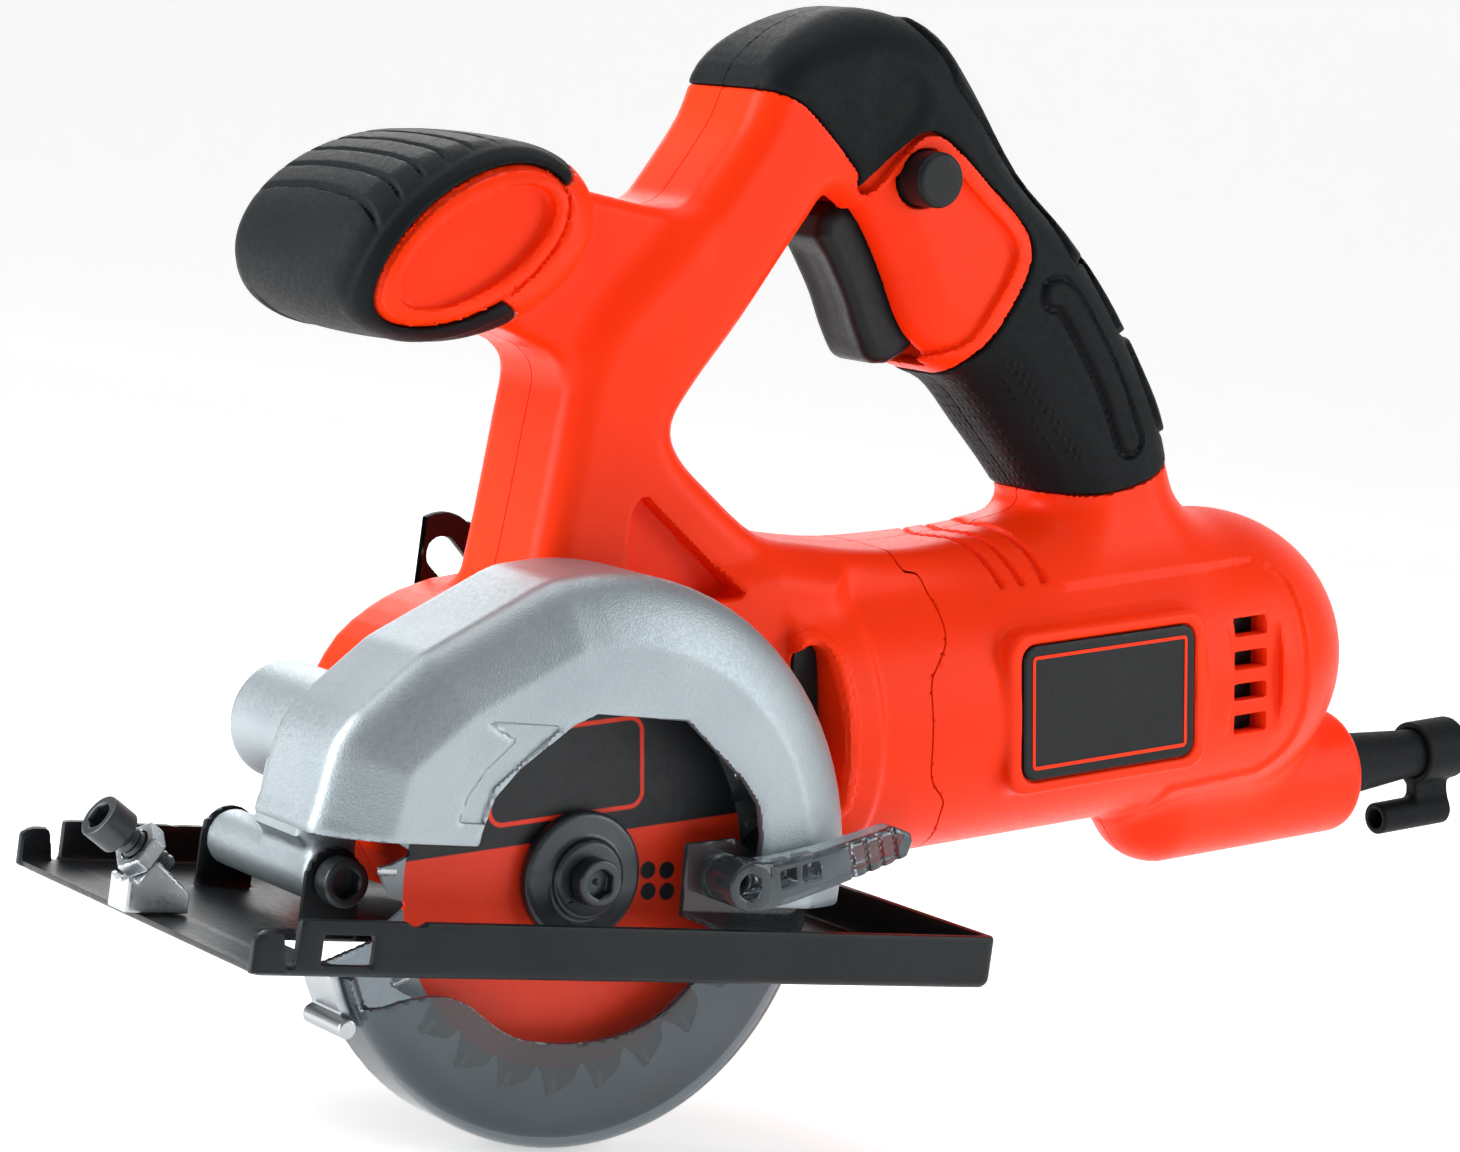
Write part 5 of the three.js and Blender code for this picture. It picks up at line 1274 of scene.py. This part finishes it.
add("bracket", bracket, ((-1, 42.8), (22.6, 34.4), (1.5, 86)), 0.6, "sole", "sole", "black_steel",
    ["depth_bracket"])
for i, x0 in enumerate((23, 37)):
    field = lambda x, y, z, x0=x0: overlap(np.hypot(np.hypot(x - x0, y - 27.4), z - 2.8) - 3.5, 4.6 - z,
        0.3)
    add(f"rivet_{i + 1}", field, ((x0 - 3.8, x0 + 3.8), (23.6, 31.2), (4.0, 7.0)), 0.35, "sole", "sole",
        "bare_steel", [f"bracket_rivet_{i + 1}"])

# %% [markdown]
# The fence clamp stands on the front edge. Its screw leans forward, so its field is measured in the
# screw's own directions: along it, and across it in the side view.

# %% The fence clamp
CLAMP, CLAMP_Y = math.radians(33), -8


def leaned(x, z):
    """Along the clamp's screw and across it, from a point in the side view."""
    a = (x + 74) * math.cos(CLAMP) - (z - 12.5) * math.sin(CLAMP)
    return a, (x + 74) * math.sin(CLAMP) + (z - 12.5) * math.cos(CLAMP)


def clamp_screw(x, y, z):
    """A cap screw whose shank has a fine sine wave along it as its thread."""
    a, c = leaned(x, z)
    whole = cap_screw(y - CLAMP_Y, c, a + 13, 4.4, 6.0, 2.6, 18, 2.4)
    thread = 0.20 * np.sin(a * 2 * math.pi / 1.5)
    return whole + thread * rise(a, -7.0, -6.2)


add("clamp_screw", clamp_screw, ((-90, -66), (-13, -3), (4, 26)), 0.32, "sole", "fence_screw",
    "dark_steel", ["fence_clamp_screw"])


def clamp_nut(x, y, z):
    """A hexagon along the screw, less its bore."""
    a, c = leaned(x, z)
    side = overlap(hexagon(y - CLAMP_Y, c, 4.6), np.abs(a + 1.7) - 1.7, 0.4)
    return carve(side, np.hypot(y - CLAMP_Y, c) - 3.2, 0.3)


add("clamp_nut", clamp_nut, ((-83, -67), (-14, -2), (6, 20)), 0.35, "sole", "sole", "bare_steel",
    ["fence_clamp_nut"])


def clamp_block(x, y, z):
    """A wedge whose top face is square to the screw, bored for it and hollowed for the nut."""
    a, c = leaned(x, z)
    side = np.array([(-79, 2.3), (-79, 8.5), (-73.4, 12.1), (-66, 6.3), (-66, 2.3)])
    whole = prism(within(x, z, side), y - CLAMP_Y, 3.8, 0.5)
    whole = carve(whole, np.hypot(y - CLAMP_Y, c) - 3.15, 0.3)
    return carve(whole, np.maximum(np.hypot(y - CLAMP_Y, c) - 6.4, a - 0.3), 0.4)


add("clamp_block", clamp_block, ((-80, -65), (-15, -1), (1.6, 13)), 0.4, "sole", "sole", "bare_steel",
    ["fence_clamp_block"])

# %% [markdown]
# ## Depth lock
# A bolt through the bracket's slot, and a lever that turns it.

# %% Lock
LOCK_U, LOCK_W = 30.24, 5.11
ARM = np.array([(LOCK_U, LOCK_W - 5), (LOCK_U + 30, LOCK_W + 1), (LOCK_U + 33, LOCK_W + 5),
    (LOCK_U + 30, LOCK_W + 8.5), (LOCK_U, LOCK_W + 6)])


def lock_lever(u, y, w):
    """A hub with an arm blended on, ribbed near its end for the thumb, less the bolt's bore."""
    hub = drum(u - LOCK_U, w - LOCK_W, 7.0, y, 34.7, 39.2, 0.8)
    arm = prism(within(u, w, ARM), y - 36.95, 2.25, 1.0)
    ribs = np.maximum(np.abs((u - LOCK_U) % 3.2 - 1.6) - 0.5, np.abs(u - LOCK_U - 24.2) - 5.2)
    whole = carve(blend(hub, arm, 1.5), np.maximum(ribs, 38.7 - y), 0.3)
    return carve(whole, np.hypot(u - LOCK_U, w - LOCK_W) - 3.3, 0.3)


add("lock_arm", lock_lever, ((LOCK_U - 8, LOCK_U + 34), (33.8, 40), (LOCK_W - 8, LOCK_W + 9.5)), 0.45,
    "body", "depth_lever", "black_plastic", ["depth_lock_lever"])
add("lock_bolt", lambda u, y, w: cap_screw(u - LOCK_U, w - LOCK_W, 42.5 - y, 5.0, 3.0, 3.0, 30.5, 2.7),
    ((LOCK_U - 5.6, LOCK_U + 5.6), (11, 43.2), (LOCK_W - 5.6, LOCK_W + 5.6)), 0.35, "body", "housing",
    "dark_steel", ["depth_lock_bolt"])

# %% [markdown]
# ## Floor, light and camera
# A pale floor and large soft lights, as in a small studio: one from the front right that lights the
# sides, one behind on the left that rims the saw, and one overhead.

# %% Studio
def panel_light(name, at, size, power, aim=(0.06, 0, 0.07)):
    """A soft rectangular light, in metres and watts, turned towards the saw's middle."""
    light = bpy.data.lights.new(name, "AREA")
    light.shape, light.size, light.size_y, light.energy = "RECTANGLE", size[0], size[1], power
    made = bpy.data.objects.new(name, light)
    made.location = at
    made.rotation_euler = (Vector(aim) - Vector(at)).to_track_quat("-Z", "Y").to_euler()
    bpy.context.scene.collection.objects.link(made)


panel_light("front_right", (0.95, -0.85, 0.50), (0.7, 0.9), 8)
panel_light("rim_left", (-1.0, 0.35, 0.45), (0.6, 1.1), 19)
panel_light("overhead", (0.0, 0.1, 1.3), (1.0, 1.0), 7)
panel_light("rear", (0.5, 1.3, 0.9), (0.9, 0.9), 8)
world = bpy.data.worlds.new("studio")
world.use_nodes = True
sky = world.node_tree.nodes["Background"]
sky.inputs["Color"].default_value, sky.inputs["Strength"].default_value = (1, 1, 1, 1), 0.28
bpy.context.scene.world = world
bpy.context.scene.view_settings.view_transform = "Standard"

# %% [markdown]
# The floor runs back and then curves up as a photographer's paper roll does, so no edge shows behind the
# saw. It glows a little, which keeps the white even.

# %% The floor
floor_mesh = bpy.data.meshes.new("floor")
floor_z = cad_box[0][2] - 0.001
sweep = np.array([(-3.0, 0.0), (3.0, 0.0), *[(3.0 + 1.5 * math.sin(a), 1.5 - 1.5 * math.cos(a))
    for a in np.linspace(0.1, math.pi / 2, 16)], (4.5, 5.0)])
ahead, beside = np.array([0.5675, 0.8197]), np.array([0.8197, -0.5675])
rows = [(*(d * ahead + s * beside), floor_z + h) for d, h in sweep for s in (-5.0, 5.0)]
floor_mesh.from_pydata(rows, [], [(2 * i, 2 * i + 1, 2 * i + 3, 2 * i + 2)
    for i in range(len(sweep) - 1)])
floor_mesh.polygons.foreach_set("use_smooth", np.ones(len(floor_mesh.polygons), bool))
floor = bpy.data.objects.new("floor", floor_mesh)
bpy.context.scene.collection.objects.link(floor)
paper = bpy.data.materials.new("paper")
paper.use_nodes = True
shader = paper.node_tree.nodes["Principled BSDF"]
for socket, value in (("Base Color", (0.9, 0.9, 0.9, 1)), ("Roughness", 0.8),
        ("Emission Color", (1, 1, 1, 1)), ("Emission Strength", 0.5)):
    shader.inputs[socket].default_value = value
floor_mesh.materials.append(paper)
print(f"the floor is {1000 * (cad_box[0][2] - floor_z):.0f} mm under the saw")

# %% Camera
lens = bpy.data.cameras.new("camera")
lens.lens, lens.sensor_width, lens.clip_start = 105.63, 36.0, 0.01
camera = bpy.data.objects.new("camera", lens)
right, up, back = (0.82059, -0.55538, 0.13494), (-0.06770, 0.13998, 0.98787), (-0.56752, -0.81974,
    0.07726)
turn = Matrix((right, up, back)).transposed().to_4x4()
camera.matrix_world = Matrix.Translation((-0.43698, -0.70689, 0.13862)) @ turn
bpy.context.scene.collection.objects.link(camera)
bpy.context.scene.camera = camera
print(f"camera {camera.matrix_world.translation.length:.2f} m away, lens {lens.lens:.0f} mm")

# %% Finishes from the record for the parts still shown, and the count of pieces and triangles
for name, made in frame["nodes"].items():
    if not made.hide_render:
        wanted = next(s["material_slot"] for s in frame["record"]["subparts"] if s["node"] == name)
        made.data.materials.clear()
        made.data.materials.append(MATERIALS[wanted])
print("pieces:", len(PIECES), "triangles:", sum(n for _, n in PIECES))
